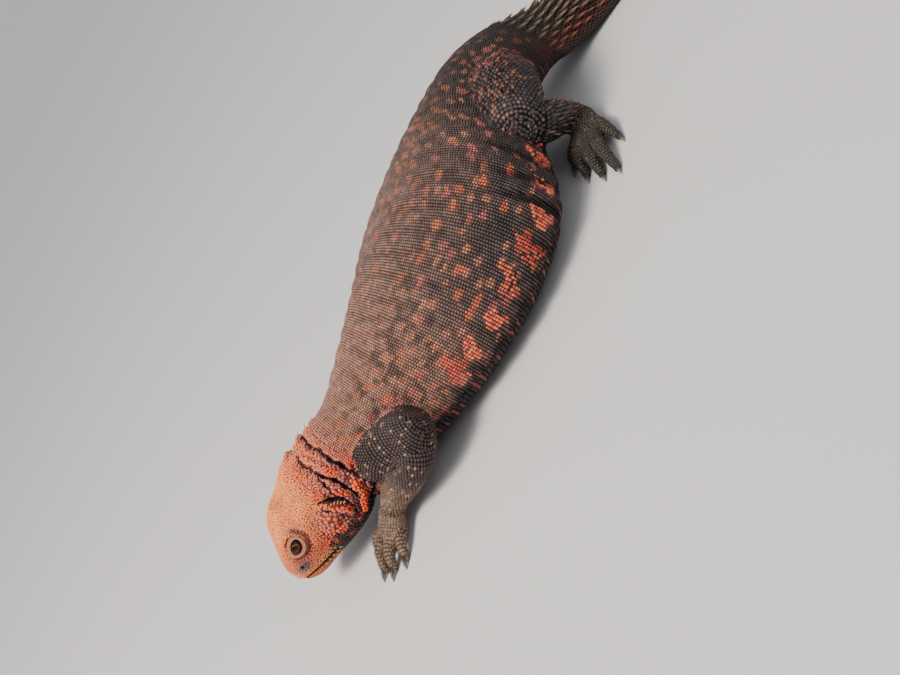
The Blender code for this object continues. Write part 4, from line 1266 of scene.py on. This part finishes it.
def scale_set(form, surface, rows, zone, first, last, span, height, fill=(0.54, 0.56), tip=None, spread=0.2,
              crowd=0.0, twist=0.0, swell=None):
    """Turn places in rows into one set for plant()."""
    at, angle, wide, pitch = rows.T
    place, across, along, out = frames(surface, at, angle)
    kept, place, out = settle(place, out)
    if crowd:
        kept &= room(place, crowd * np.minimum(wide, pitch))
    at, angle, wide, pitch = (part[kept] for part in (at, angle, wide, pitch))
    place, across, along, out = place[kept], across[kept], along[kept], out[kept]
    planted.append(place)
    across = unit(np.cross(along, out))
    along = np.cross(out, across)
    if twist:
        spin = draw.uniform(-twist, twist, (len(at), 1))
        c, q = np.cos(spin), np.sin(spin)
        across, along = across * c + along * q, along * c - across * q
    tint = paint(place, zone, at, angle) * (1 + draw.uniform(-spread, spread, (len(at), 1)))
    tall = height(place, at, angle) if callable(height) else np.full(len(at), height)
    size = np.column_stack([wide * fill[0], pitch * fill[1], tall * draw.uniform(0.85, 1.15, len(at))])
    if swell:
        size = size * swell(place, at, angle)[:, None] ** (0.5, 0.5, 1.6)
    # Without a tip colour of its own, a scale's top is painted lighter as a highlight.
    tips = tint * 1.25 if tip is None else tip(place, at, angle, tint)
    return form, place, across, along, out, size, tint, tips, patch_of(first, last, at, span, angle)


def swell_bars(place, at, angle):
    bars, _ = bars_at(at, around_of(at, angle), lift_of(angle), place)
    return 1 + 0.75 * bars


found = stations(NECK_END - 1.2, VENT + 3.5, lambda at: 0.93 * bead_width(at), trunk_rate)
rows = lay_rows(body_skin, found, bead_width, FULL, 0.05)
print("trunk", len(found), "rings", len(rows), "scales")
for name, span in BACK_SPAN.items():
    turn = (rows[:, 1] - span[0]) % (2 * math.pi) + span[0]
    here = rows[turn < span[1]].copy()
    here[:, 1] = turn[turn < span[1]]
    plant(name, [scale_set(GRANULE, scaled_skin, here, "trunk", NECK_END - 2, VENT + 6, span, 0.42,
                           swell=swell_bars)])
found = stations(NECK_END - 1.2, VENT + 3.5, lambda at: BELLY_PITCH, trunk_rate)
rows = lay_rows(body_skin, found, lambda at: BELLY_WIDTH, BELLY_SPAN, 0.05)
under = scale_set(GRANULE, body_skin, rows, "trunk", NECK_END - 2, VENT + 6, BELLY_SPAN, 0.34)
plant("scales_belly", [under])

# %% [markdown]
# ## Head and neck
#
# The scales of the head are uneven: flat small shields on the crown, cones behind the jaw and on the nape.
# Rings would look like corn here. So places are drawn at random, and one is kept only if it isn't too near
# to those kept before it. The gap to its neighbours then gives each scale its own width.

# %% Head and neck scales
HEAD_TRIES = 130000
HEAD_SPAN = {
    "scales_head_left": (-math.pi / 2, math.pi / 2),
    "scales_head_right": (math.pi / 2, 1.5 * math.pi),
}


def head_gap(place):
    """The least distance between two scales of the head."""
    ahead, out, up = head_measures(place)
    cheek = fade(-ahead, 1, 8) * fade(-up, -1, 6)
    plates = bell(np.hypot((ahead + 14) / 4.0, (up + 6) / 5.5), 1.0) * (out > 8)
    return 0.62 + 0.3 * cheek + 0.7 * plates + 0.1 * fade(-ahead, 16, 24)


def head_height(place, at, angle):
    ahead, _, up = head_measures(place)
    cheek = fade(-ahead, 0, 8) * fade(-up, 2, 8) * fade(up, -24, -16)
    nape = fade(-ahead, 17, 23) * fade(up, -4, 4) * fade(ahead, -34, -28)
    lobes = fade(ridges(at, angle), 0.3, 0.9)
    cones = 0.5 * cheek * (0.5 + 0.8 * noise(place, 2.0, 51))
    return 0.2 + cones + 0.5 * nape * noise(place, 1.6, 52) + 0.35 * lobes


def scatter(first, last, tries):
    """Places drawn over a stretch of the skin, none nearer to another than its gap allows."""
    at, angle = draw.uniform(first, last, tries), draw.uniform(*FULL, tries)
    place = scaled_skin(at, angle)
    gap = head_gap(place)
    cell = gap.max()
    taken, kept = {}, []
    reach = (-1, 0, 1)
    keys = np.floor(place / cell).astype(int).tolist()
    for index, (spot, key, least) in enumerate(zip(place.tolist(), keys, gap)):
        around = ((key[0] + i, key[1] + j, key[2] + k) for i in reach for j in reach for k in reach)
        beside = (taken.get(other, ()) for other in around)
        if all(math.dist(spot, other) >= least for group in beside for other in group):
            taken.setdefault(tuple(key), []).append(spot)
            kept.append(index)
    place = place[kept]
    tree = search_tree(place)
    wide = np.array([np.mean([found[2] for found in tree.find_n(spot, 5)[1:]]) for spot in place])
    return np.column_stack([at[kept], angle[kept], wide, wide])


rows = scatter(SNOUT + 0.2, NECK_END - 1.0, HEAD_TRIES)
place = scaled_skin(rows[:, 0], rows[:, 1])
clear = grooves(rows[:, 0], rows[:, 1]) < 1.9
for side in SIDES:
    ahead, out, up = head_measures(place)
    mine = (place + SHIFT - HEAD_CENTRE) @ HEAD_LEFT * side > 3
    for middle, lean, long, tall in ((EYE_AT, EYE_LEAN, 4.4, 3.4), (EAR_AT, EAR_LEAN, 1.5, 4.0)):
        far_long, far_tall = oval_measures(ahead, up, middle, lean)
        clear &= ~(mine & (np.hypot(far_long / long, far_tall / tall) < 1))
    clear &= np.linalg.norm(place - nostrils[side], axis=1) > 1.5
line = mouth_height(ahead)
clear &= ~((np.abs(up - line) < 1.9) & (ahead > -0.8) & (ahead < 15.4) & (out > 1))
clear &= ~((np.abs(up - line) < 0.6) & (ahead > -1.6))
rows = rows[clear]
print("head", len(rows), "scales")
for name, span in HEAD_SPAN.items():
    here = rows[(rows[:, 1] >= span[0]) & (rows[:, 1] < span[1])]
    plant(name, [scale_set(GRANULE, scaled_skin, here, "trunk", SNOUT, NECK_END, span, head_height,
                           fill=(0.56, 0.58), spread=0.16, twist=0.9)])

# %% Spikes of the nape
SPIKE_LONG, SPIKE_WIDE = 2.0, 0.42
number = 150
count = np.arange(number)
at = NECK_START - 1.5 + 20.0 * (count * GOLDEN % 1.0)
turn = np.radians(34 + 112 * (count + 0.5) / number) + draw.uniform(-0.05, 0.05, number)
long = SPIKE_LONG * draw.uniform(0.6, 1.2, number)
rows = np.column_stack([at, turn, SPIKE_WIDE * long / SPIKE_LONG, long])
rows = rows[grooves(rows[:, 0], rows[:, 1]) < 0.8]


def spike_tip(place, at, angle, tint):
    return tint * 0.6 + linear(236, 176, 140) * 0.5


spikes = scale_set(THORN, scaled_skin, rows, "trunk", SNOUT, NECK_END + 3, FULL, 1.35, (1.0, 0.8), spike_tip)
plant("spikes_nape", [spikes])

# %% [markdown]
# ## Face
#
# The lids are one thick ring round the eye, wider than tall, that bulges out past the cheek. They fold as
# rings of tiny beads, so the ring is a loft of its own with rows of beads laid round it. The lips are two
# rows of plates on either side of the mouth. The opening of the ear has a comb of small pale teeth in front.

# %% Lids
LID_AT = (-0.2, 12.5, 2.0)
LID_LONG, LID_TALL, LID_THICK = 3.8, 2.85, 0.68
LID_CURVE = 0.03


def lid_skin(side, turn, angle, grow=0.0):
    """Points of the ring of the lids: turn goes round the eye, angle round the ring's own section."""
    thick = LID_THICK * (1 + 0.35 * fade(-np.sin(turn), 0.0, 0.9)) + grow
    out = thick * np.cos(angle)
    lean = math.radians(EYE_LEAN)
    long, tall = (LID_LONG + out) * np.cos(turn), (LID_TALL + out) * np.sin(turn)
    ahead = LID_AT[0] + long * math.cos(lean) - tall * math.sin(lean)
    up = LID_AT[2] + long * math.sin(lean) + tall * math.cos(lean)
    left = LID_AT[1] + thick * np.sin(angle) - LID_CURVE * long**2
    return head_place(ahead, side * left, up) - SHIFT


def lid_ring(shape, side, turns=72, sides=12):
    """A circle of points spun into a ring, then laid round the eye."""
    middle = (3, 0, 0)
    old = set(shape.verts)
    profile = bmesh.ops.create_circle(shape, segments=sides, radius=1, matrix=Matrix.Translation(middle))
    bmesh.ops.rotate(shape, verts=profile["verts"], cent=middle, matrix=Matrix.Rotation(math.pi / 2, 3, "X"))
    line = [edge for edge in shape.edges if edge.verts[0] not in old]
    bmesh.ops.spin(shape, geom=line, cent=(0, 0, 0), axis=(0, 0, 1), angle=2 * math.pi, steps=turns,
                   use_merge=True)
    for corner in shape.verts:
        if corner not in old:
            turn = math.atan2(corner.co.y, corner.co.x)
            angle = math.atan2(corner.co.z, corner.co.xy.length - middle[0])
            corner.co = Vector(lid_skin(side, turn, angle, -0.08) * MM)


shape = bmesh.new()
for side in SIDES:
    lid_ring(shape, side)
bmesh.ops.recalc_face_normals(shape, faces=shape.faces)
lids = shape_object("lids", shape)
lids.data.shade_smooth()
LID_COLOUR, LID_RIM, LID_INNER = linear(206, 118, 82), linear(226, 164, 130), linear(40, 22, 24)
# Painted shade: the ring's skin between its beads is half as bright as the beads.
set_colour(lids.data, LID_COLOUR * 0.5)
lids.data.materials.append(skin_finish)
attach(lids, "root")
print("lids", len(lids.data.polygons), "faces")

# %% Beads of the lids
sets = []
for side in SIDES:
    turn, angle = [], []
    for ring, low in enumerate(np.radians((8, 46, 84, 120, 154))):
        radius = LID_LONG + LID_THICK * math.cos(low)
        number = round(2 * math.pi * radius / 0.5)
        turn.append((np.arange(number) + 0.5 * (ring % 2)) * 2 * math.pi / number)
        angle.append(np.full(number, low))
    turn, angle = np.concatenate(turn), np.concatenate(angle)
    place, inner = lid_skin(side, turn, angle), lid_skin(side, turn, angle, -LID_THICK * 0.5)
    out = unit(place - inner)
    along = unit(lid_skin(side, turn + 0.05, angle) - lid_skin(side, turn - 0.05, angle))
    across = np.cross(along, out)
    tint = mix(np.broadcast_to(LID_COLOUR, place.shape), LID_RIM, bell(angle - 1.7, 0.5))
    tint = mix(tint, LID_INNER, 0.85 * fade(angle, math.radians(112), math.radians(150)))
    under = fade(-np.sin(turn), 0.1, 0.7) * (1 - fade(angle, 0.4, 1.1))
    tint = mix(tint, LID_PLUM, 0.8 * under)
    size = np.broadcast_to((0.23, 0.28, 0.15), place.shape)
    patch = np.column_stack([0.02 + 0.47 * (side < 0) + 0.45 * (turn / 7), 0.02 + 0.3 * angle])
    # The beads' tops are painted a little lighter as a highlight.
    sets.append((GRANULE, place, across, along, out, size, tint, tint * 1.15, patch))
plant("scales_lids", sets)

# %% Lips, nostrils and the comb of the ear


def on_skin(spot, side):
    """The nearest place of the skin to a point in the head's frame, and its outward direction."""
    found, normal, _, _ = ground.find_nearest(Vector(side_place(spot, side) * MM))
    return np.array(found) / MM, np.array(normal)


def face_set(form, spots, side, size, tint=None, tip=None):
    """One set of scales given by points in the head's frame, pointing to the rear."""
    found = [on_skin(spot, side) for spot in spots]
    place, out = (np.array(part) for part in zip(*found))
    along = np.broadcast_to(-HEAD_AHEAD, place.shape)
    along = unit(along - out * np.sum(along * out, 1, keepdims=True))
    across = np.cross(along, out)
    if tint is None:
        tint = paint_head(place)
    tint = np.broadcast_to(tint, place.shape) * (1 + draw.uniform(-0.1, 0.1, (len(place), 1)))
    # Without a tip colour, the tops are painted a little lighter as a highlight.
    tips = tint * 1.1 if tip is None else np.broadcast_to(tip, place.shape)
    size = np.broadcast_to(size, place.shape)
    patch = np.array([(0.5 + 0.02 * spot[0], 0.5 + 0.02 * spot[2]) for spot in spots])
    planted.append(place)
    return form, place, across, along, out, size, tint, tips, patch


NOSTRIL_RIM = 1.15
sets = []
for side in SIDES:
    for row, (lift, tall) in enumerate(((0.85, 0.46), (1.75, 0.44), (-0.85, 0.46), (-1.75, 0.44))):
        ahead = np.arange(-0.4 + 0.5 * (row % 2), 15.2, LIP_STEP)
        up = mouth_height(ahead) + lift
        half = smooth(np.array(HEAD)[::-1][:, :2], ahead)[:, 1]
        spots = np.column_stack([ahead, half * 0.97, up])
        sets.append(face_set(GRANULE, spots, side, (tall, 0.5, 0.3)))
    ring = np.radians(np.arange(0, 360, 40))
    rim = np.column_stack([np.cos(ring), 0 * ring, np.sin(ring)])
    spots = NOSTRIL_AT + NOSTRIL_RIM * rim
    sets.append(face_set(GRANULE, spots, side, (0.42, 0.42, 0.36), linear(104, 98, 106)))
    comb = np.linspace(-3.2, 3.0, 6)
    lean = math.radians(EAR_LEAN)
    spots = [(EAR_AT[0] + 1.3 - up * math.sin(lean), EAR_AT[1], EAR_AT[2] + up) for up in comb]
    sets.append(face_set(THORN, spots, side, (0.42, 1.5, 0.6), linear(196, 112, 88), linear(240, 206, 184)))
plant("scales_face", sets)

# %% [markdown]
# ## Eyes
#
# The eye of this lizard is dark, with a narrow amber ring round a black pupil. A ball with a slight bulge in
# front is painted from the angle away from its own axis, and a clear glossy coat gives the wet highlight.

# %% Two eyes
GAZE_AHEAD, GAZE_UP = 0.14, 0.06
EYE_RADII, EYE_OUT = (3.6, 2.7, 3.7), 0.3
eye_finish = finish("eye_glaze", 0.2, 0.0, speckle=0.05, gloss=0.2)
eye_shader = eye_finish.node_tree.nodes["Principled BSDF"]
set_inputs(eye_shader, {"Coat Weight": 0.2, "Coat Roughness": 0.02})
for side in SIDES:
    name = "eye_left" if side > 0 else "eye_right"
    low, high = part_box(name)
    centre = np.array((low + high) / 2) / MM + HEAD_LEFT * side * EYE_OUT
    gaze = HEAD_LEFT * side + HEAD_AHEAD * GAZE_AHEAD + HEAD_UP * GAZE_UP
    gaze /= np.linalg.norm(gaze)
    rise = np.cross(gaze, leaning(EYE_LEAN)[0])
    rise /= np.linalg.norm(rise)
    eye = ball("eyeball_" + name[4:], centre, (np.cross(rise, gaze), rise, gaze), EYE_RADII, 96)
    spots = corners_of(eye.data) / MM - centre
    cosine = spots @ gaze / np.linalg.norm(spots, axis=1)
    away = np.degrees(np.arccos(np.clip(cosine, -1, 1)))
    spots *= (1 + 0.03 * bell(away, 26))[:, None]
    for corner, spot in zip(eye.data.vertices, (spots + centre) * MM):
        corner.co = spot
    streak = 0.5 + 0.8 * noise(spots + 20, 0.35, 71)
    colour = np.broadcast_to(linear(62, 36, 22), spots.shape) * streak[:, None]
    colour = mix(colour, linear(176, 108, 50) * streak[:, None], 0.8 * bell(away - 24, 2.6))
    colour = mix(colour, linear(4, 3, 3), fade(-away, -23.0, -21.0))
    colour = mix(colour, linear(16, 9, 7), fade(away, 32, 40))
    set_colour(eye.data, colour)
    eye.data.shade_smooth()
    eye.data.materials.append(eye_finish)
    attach(eye, "root")
    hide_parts(name)
    print(eye.name, len(eye.data.polygons), "faces")

# %% [markdown]
# ## The tail
#
# The name of the animal: rings of thorns. Each whorl is one ring of large keeled thorns, with a ring or two
# of small tiles between it and the next. The thorns point back and outwards, are longest on the sides, and
# fade to a pale tip. Underneath the tail there are only flat tiles.

# %% Tail scales and thorns
WHORL_PITCH_ROOT, WHORL_PITCH_TIP = 5.4, 3.3


def tail_pitch(at):
    return along_tail(1.75, 1.15, at)


found = stations(VENT + 3.5, TAIL_TIP - 0.8, tail_pitch, lambda at: 1.05)
rows = lay_rows(trunk_skin, found, tail_pitch, FULL, 0.05)


def tail_height(place, at, angle):
    return along_tail(0.75, 0.45, at)


def tail_tip(place, at, angle, tint):
    return tint * 1.2 + linear(96, 76, 62) * 0.4


tiles = scale_set(KEELED, trunk_skin, rows, "trunk", VENT, TAIL_TIP, FULL, tail_height,
                  (0.42, 0.66), tail_tip)
plant("scales_tail", [tiles])
whorls = stations(VENT + 1.5, TAIL_TIP - 3.0, lambda at: along_tail(WHORL_PITCH_ROOT, WHORL_PITCH_TIP, at),
                  lambda at: 1.05)
rows = []
for count, at in enumerate(whorls):
    number = round(along_tail(15, 7, at))
    step = 212 / (number - 1)
    turn = -16 + step * (np.arange(number) + 0.5 * (count % 2)) + draw.uniform(-1.5, 1.5, number)
    length = along_tail(THORN_LONG, THORN_SHORT, at) * draw.uniform(0.9, 1.12, number)
    rows.append(np.column_stack([np.full(number, at), np.radians(turn), 0.2 * length, length]))
rows = np.concatenate(rows)


def thorn_height(place, at, angle):
    ramp = 0.45 + 0.55 * np.clip((at - VENT) / THORN_RAMP, 0, 1)
    return along_tail(THORN_LONG, THORN_SHORT, at) * THORN_RISE * ramp


def thorn_tip(place, at, angle, tint):
    low = fade(-lift_of(angle), -24, 8)[:, None]
    return linear(150, 122, 100) * (1 - low) + linear(150, 74, 50) * low


plant("thorns_tail", [scale_set(THORN, trunk_skin, rows, "trunk", VENT, TAIL_TIP, FULL, thorn_height,
                                (1.0, 0.95), thorn_tip)])

# %% [markdown]
# ## Legs
#
# Leg scales are tiles with a keel and a free point, larger than the beads of the trunk, in rings across each
# tube. Where two tubes meet, both would lay scales on the same patch of skin, so a place is left out when an
# earlier piece has planted a scale too near to it. The thigh and the heel carry thorns.

# %% Leg scales and thorns
LIMB_PITCH = {"arm": 1.25, "forearm": 1.2, "hand": 1.1, "thigh": 1.8, "shank": 1.6, "foot": 1.25}
THIGH_THORNS = (40, 0.1, 1.0, 30, 116, 4.4, 0.66)
SHANK_THORNS = (34, 0.2, 1.0, 110, 245, 3.3, 0.55)
PALE_TIP = linear(150, 132, 120)


def limb_tip(place, at, angle, tint):
    return tint * 0.8 + PALE_TIP * 0.16


def thorn_rows(rows, recipe, side):
    """Places of thorns over one side of a tube, as rows of station, angle, half width and length."""
    number, first, last, low, high, length, width = recipe
    count = np.arange(number)
    at = rows[-1, 0] * (first + (last - first) * (count * GOLDEN % 1.0))
    turn = low + (high - low) * (count + 0.5) / number + draw.uniform(-4, 4, number)
    turn = turn if side > 0 else 180 - turn
    long = length * draw.uniform(0.75, 1.15, number)
    return np.column_stack([at, np.radians(turn), np.full(number, width) * long / length, long])


for name, pieces, _, side in LIMBS:
    sets = []
    for zone, rows in zip(ZONES[name[:3]], LIMB_TUBES[name]):
        def surface(at, angle, rows=rows):
            return limb_round(rows, at, angle)
        pitch, end = LIMB_PITCH[zone], rows[-1, 0]
        first, last = -0.9 * rows[0, 4], end + 0.93 * rows[-1, 4]

        def rate(at, rows=rows):
            step = limb_round(rows, np.array([at - 0.2, at + 0.2]), 1.0)
            return max(np.linalg.norm(np.diff(step, axis=0)) / 0.4, 0.6)

        found = stations(first, last, lambda at: pitch, rate)
        spots = lay_rows(surface, found, lambda at: pitch, ROUND, 0.08)
        sets.append(scale_set(KEELED, surface, spots, zone, -2, end + 2, ROUND, 0.3 * pitch + 0.12,
                              (0.53, 0.6), limb_tip, spread=0.16, crowd=0.62))
        recipe = {"thigh": THIGH_THORNS, "shank": SHANK_THORNS}.get(zone)
        if recipe:
            spots = thorn_rows(rows, recipe, side)
            tip = linear(216, 110, 60) if zone == "thigh" else linear(196, 116, 100)

            def thorn_end(place, at, angle, tint, tip=tip):
                return tint * 0.2 + tip * 0.8

            sets.append(scale_set(THORN, surface, spots, zone, -2, end + 2, ROUND,
                                  recipe[5] * 0.62, (1.0, 0.9), thorn_end))
    plant("scales_" + name, sets)
    sets = []
    for rows in TOE_TUBES[name]:
        def surface(at, angle, rows=rows):
            return limb_skin(rows, at, angle)
        end = rows[-1, 0]
        found = stations(0.5, end + 1.0, lambda at: 1.25, lambda at: 1.0)
        spots = lay_rows(surface, found, lambda at: 1.3, ROUND, 0.05)
        zone = ZONES[name[:3]][2]
        sets.append(scale_set(KEELED, surface, spots, zone, -2, end + 2, ROUND, 0.34,
                              (0.54, 0.52), limb_tip, spread=0.12, crowd=0.6))
    plant("scales_toes_" + name, sets)

# %% [markdown]
# ## Claws
#
# Each toe ends in a short curved claw: a tube that tapers to a point and bends down to the floor.

# %% Claws
CLAW_LENGTH, CLAW_RADIUS, CLAW_ROOT, CLAW_DROP, CLAW_TIP = 4.2, 1.1, 1.6, 0.9, 0.15
shape = bmesh.new()
for name, pieces, toes, side in LIMBS:
    for *spots, radius in toes:
        _, (middle, _, _), (end, _, _) = toe_joints(pieces[2], side, spots, radius)
        ahead = (end - middle) / np.linalg.norm(end - middle)
        level = ahead * (1, 1, 0)
        level /= np.linalg.norm(level)
        rows = limb_rows((
            (end - ahead * CLAW_ROOT + UP * CLAW_TIP, CLAW_RADIUS, CLAW_RADIUS),
            (end + level * CLAW_LENGTH * 0.45 + UP * 3 * CLAW_TIP, CLAW_RADIUS * 0.7, CLAW_RADIUS * 0.8),
            (end + level * CLAW_LENGTH - UP * CLAW_DROP, CLAW_TIP, CLAW_TIP),
        ))
        past = np.linspace(0, rows[-1, 0], 10)
        claw = loft("claw", 10, 14, lambda row, angle: limb_skin(rows, past[row], angle))
        shape.from_mesh(claw.data)
        bpy.data.objects.remove(claw)
claws = shape_object("claws", shape)
claws.data.shade_smooth()
corners = corners_of(claws.data) / MM
grey = fade(-corners[:, 2], -2.4, -0.5)
set_colour(claws.data, mix(np.broadcast_to(linear(52, 42, 38), corners.shape), linear(122, 106, 90), grey))
claws.data.materials.append(finish("claw_horn", 0.3, 0.1, 0.12))
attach(claws, "root")
print("claws", len(claws.data.polygons), "faces")

# %% [markdown]
# ## Floor, light and camera
#
# The photograph was taken close to the animal, with the camera turned well over on its side, so the camera
# here is placed by the same three angles: round the animal, above it, and rolled. The light is a large soft
# key from the head's side, a fill, and a pale world.

# %% Floor and world
shape = bmesh.new()
bmesh.ops.create_grid(shape, x_segments=1, y_segments=1, size=12)
floor = shape_object("floor", shape)
floor_finish = bpy.data.materials.new("pale_floor")
floor_finish.use_nodes = True
floor_shader = floor_finish.node_tree.nodes["Principled BSDF"]
set_inputs(floor_shader, {"Base Color": (0.62, 0.6, 0.58, 1), "Roughness": 0.9})
floor.data.materials.append(floor_finish)

world = bpy.data.worlds.new("studio")
bpy.context.scene.world = world
world.use_nodes = True
set_inputs(world.node_tree.nodes["Background"], {"Color": (0.9, 0.92, 1.0, 1), "Strength": 0.55})
print("floor and world made")

# %% Lights and camera
MIDDLE = np.array([-14.0, -20.0, 21.0]) - SHIFT
VIEW_HEIGHT, VIEW_ROLL, VIEW_FAR, VIEW_WIDE = math.radians(25), math.radians(61.3), 460, 38


def area_light(name, place, size, power, colour):
    light = bpy.data.lights.new(name, "AREA")
    light.shape, light.size, light.energy, light.color = "SQUARE", size, power, colour
    holder = new_object(name, light)
    holder.location = place
    holder.rotation_euler = (Vector(MIDDLE * MM) - holder.location).to_track_quat("-Z", "Y").to_euler()


area_light("key", (-0.5, -0.3, 0.8), 0.3, 9, (1.0, 0.93, 0.84))
area_light("fill", (0.9, -1.2, 0.7), 1.2, 5, (0.92, 0.96, 1.0))
sun = bpy.data.lights.new("daylight", "SUN")
sun.energy, sun.angle, sun.color = 1.5, math.radians(24), (1.0, 0.97, 0.93)
holder = new_object("daylight", sun)
holder.rotation_euler = (math.radians(24), math.radians(-28), 0)

back = np.array([0, -math.cos(VIEW_HEIGHT), math.sin(VIEW_HEIGHT)])
right = np.array([1.0, 0, 0])
up = np.cross(back, right)
across = right * math.cos(VIEW_ROLL) - up * math.sin(VIEW_ROLL)
upward = right * math.sin(VIEW_ROLL) + up * math.cos(VIEW_ROLL)
lens = bpy.data.cameras.new("camera")
lens.lens_unit, lens.angle = "FOV", math.radians(VIEW_WIDE)
lens.clip_start = 0.01
camera = new_object("camera", lens)
place = (MIDDLE + back * VIEW_FAR) * MM
turn = Matrix([across, upward, back]).transposed().to_4x4()
camera.matrix_world = Matrix.Translation(Vector(place)) @ turn
bpy.context.scene.camera = camera
print("camera at", Vector(place))
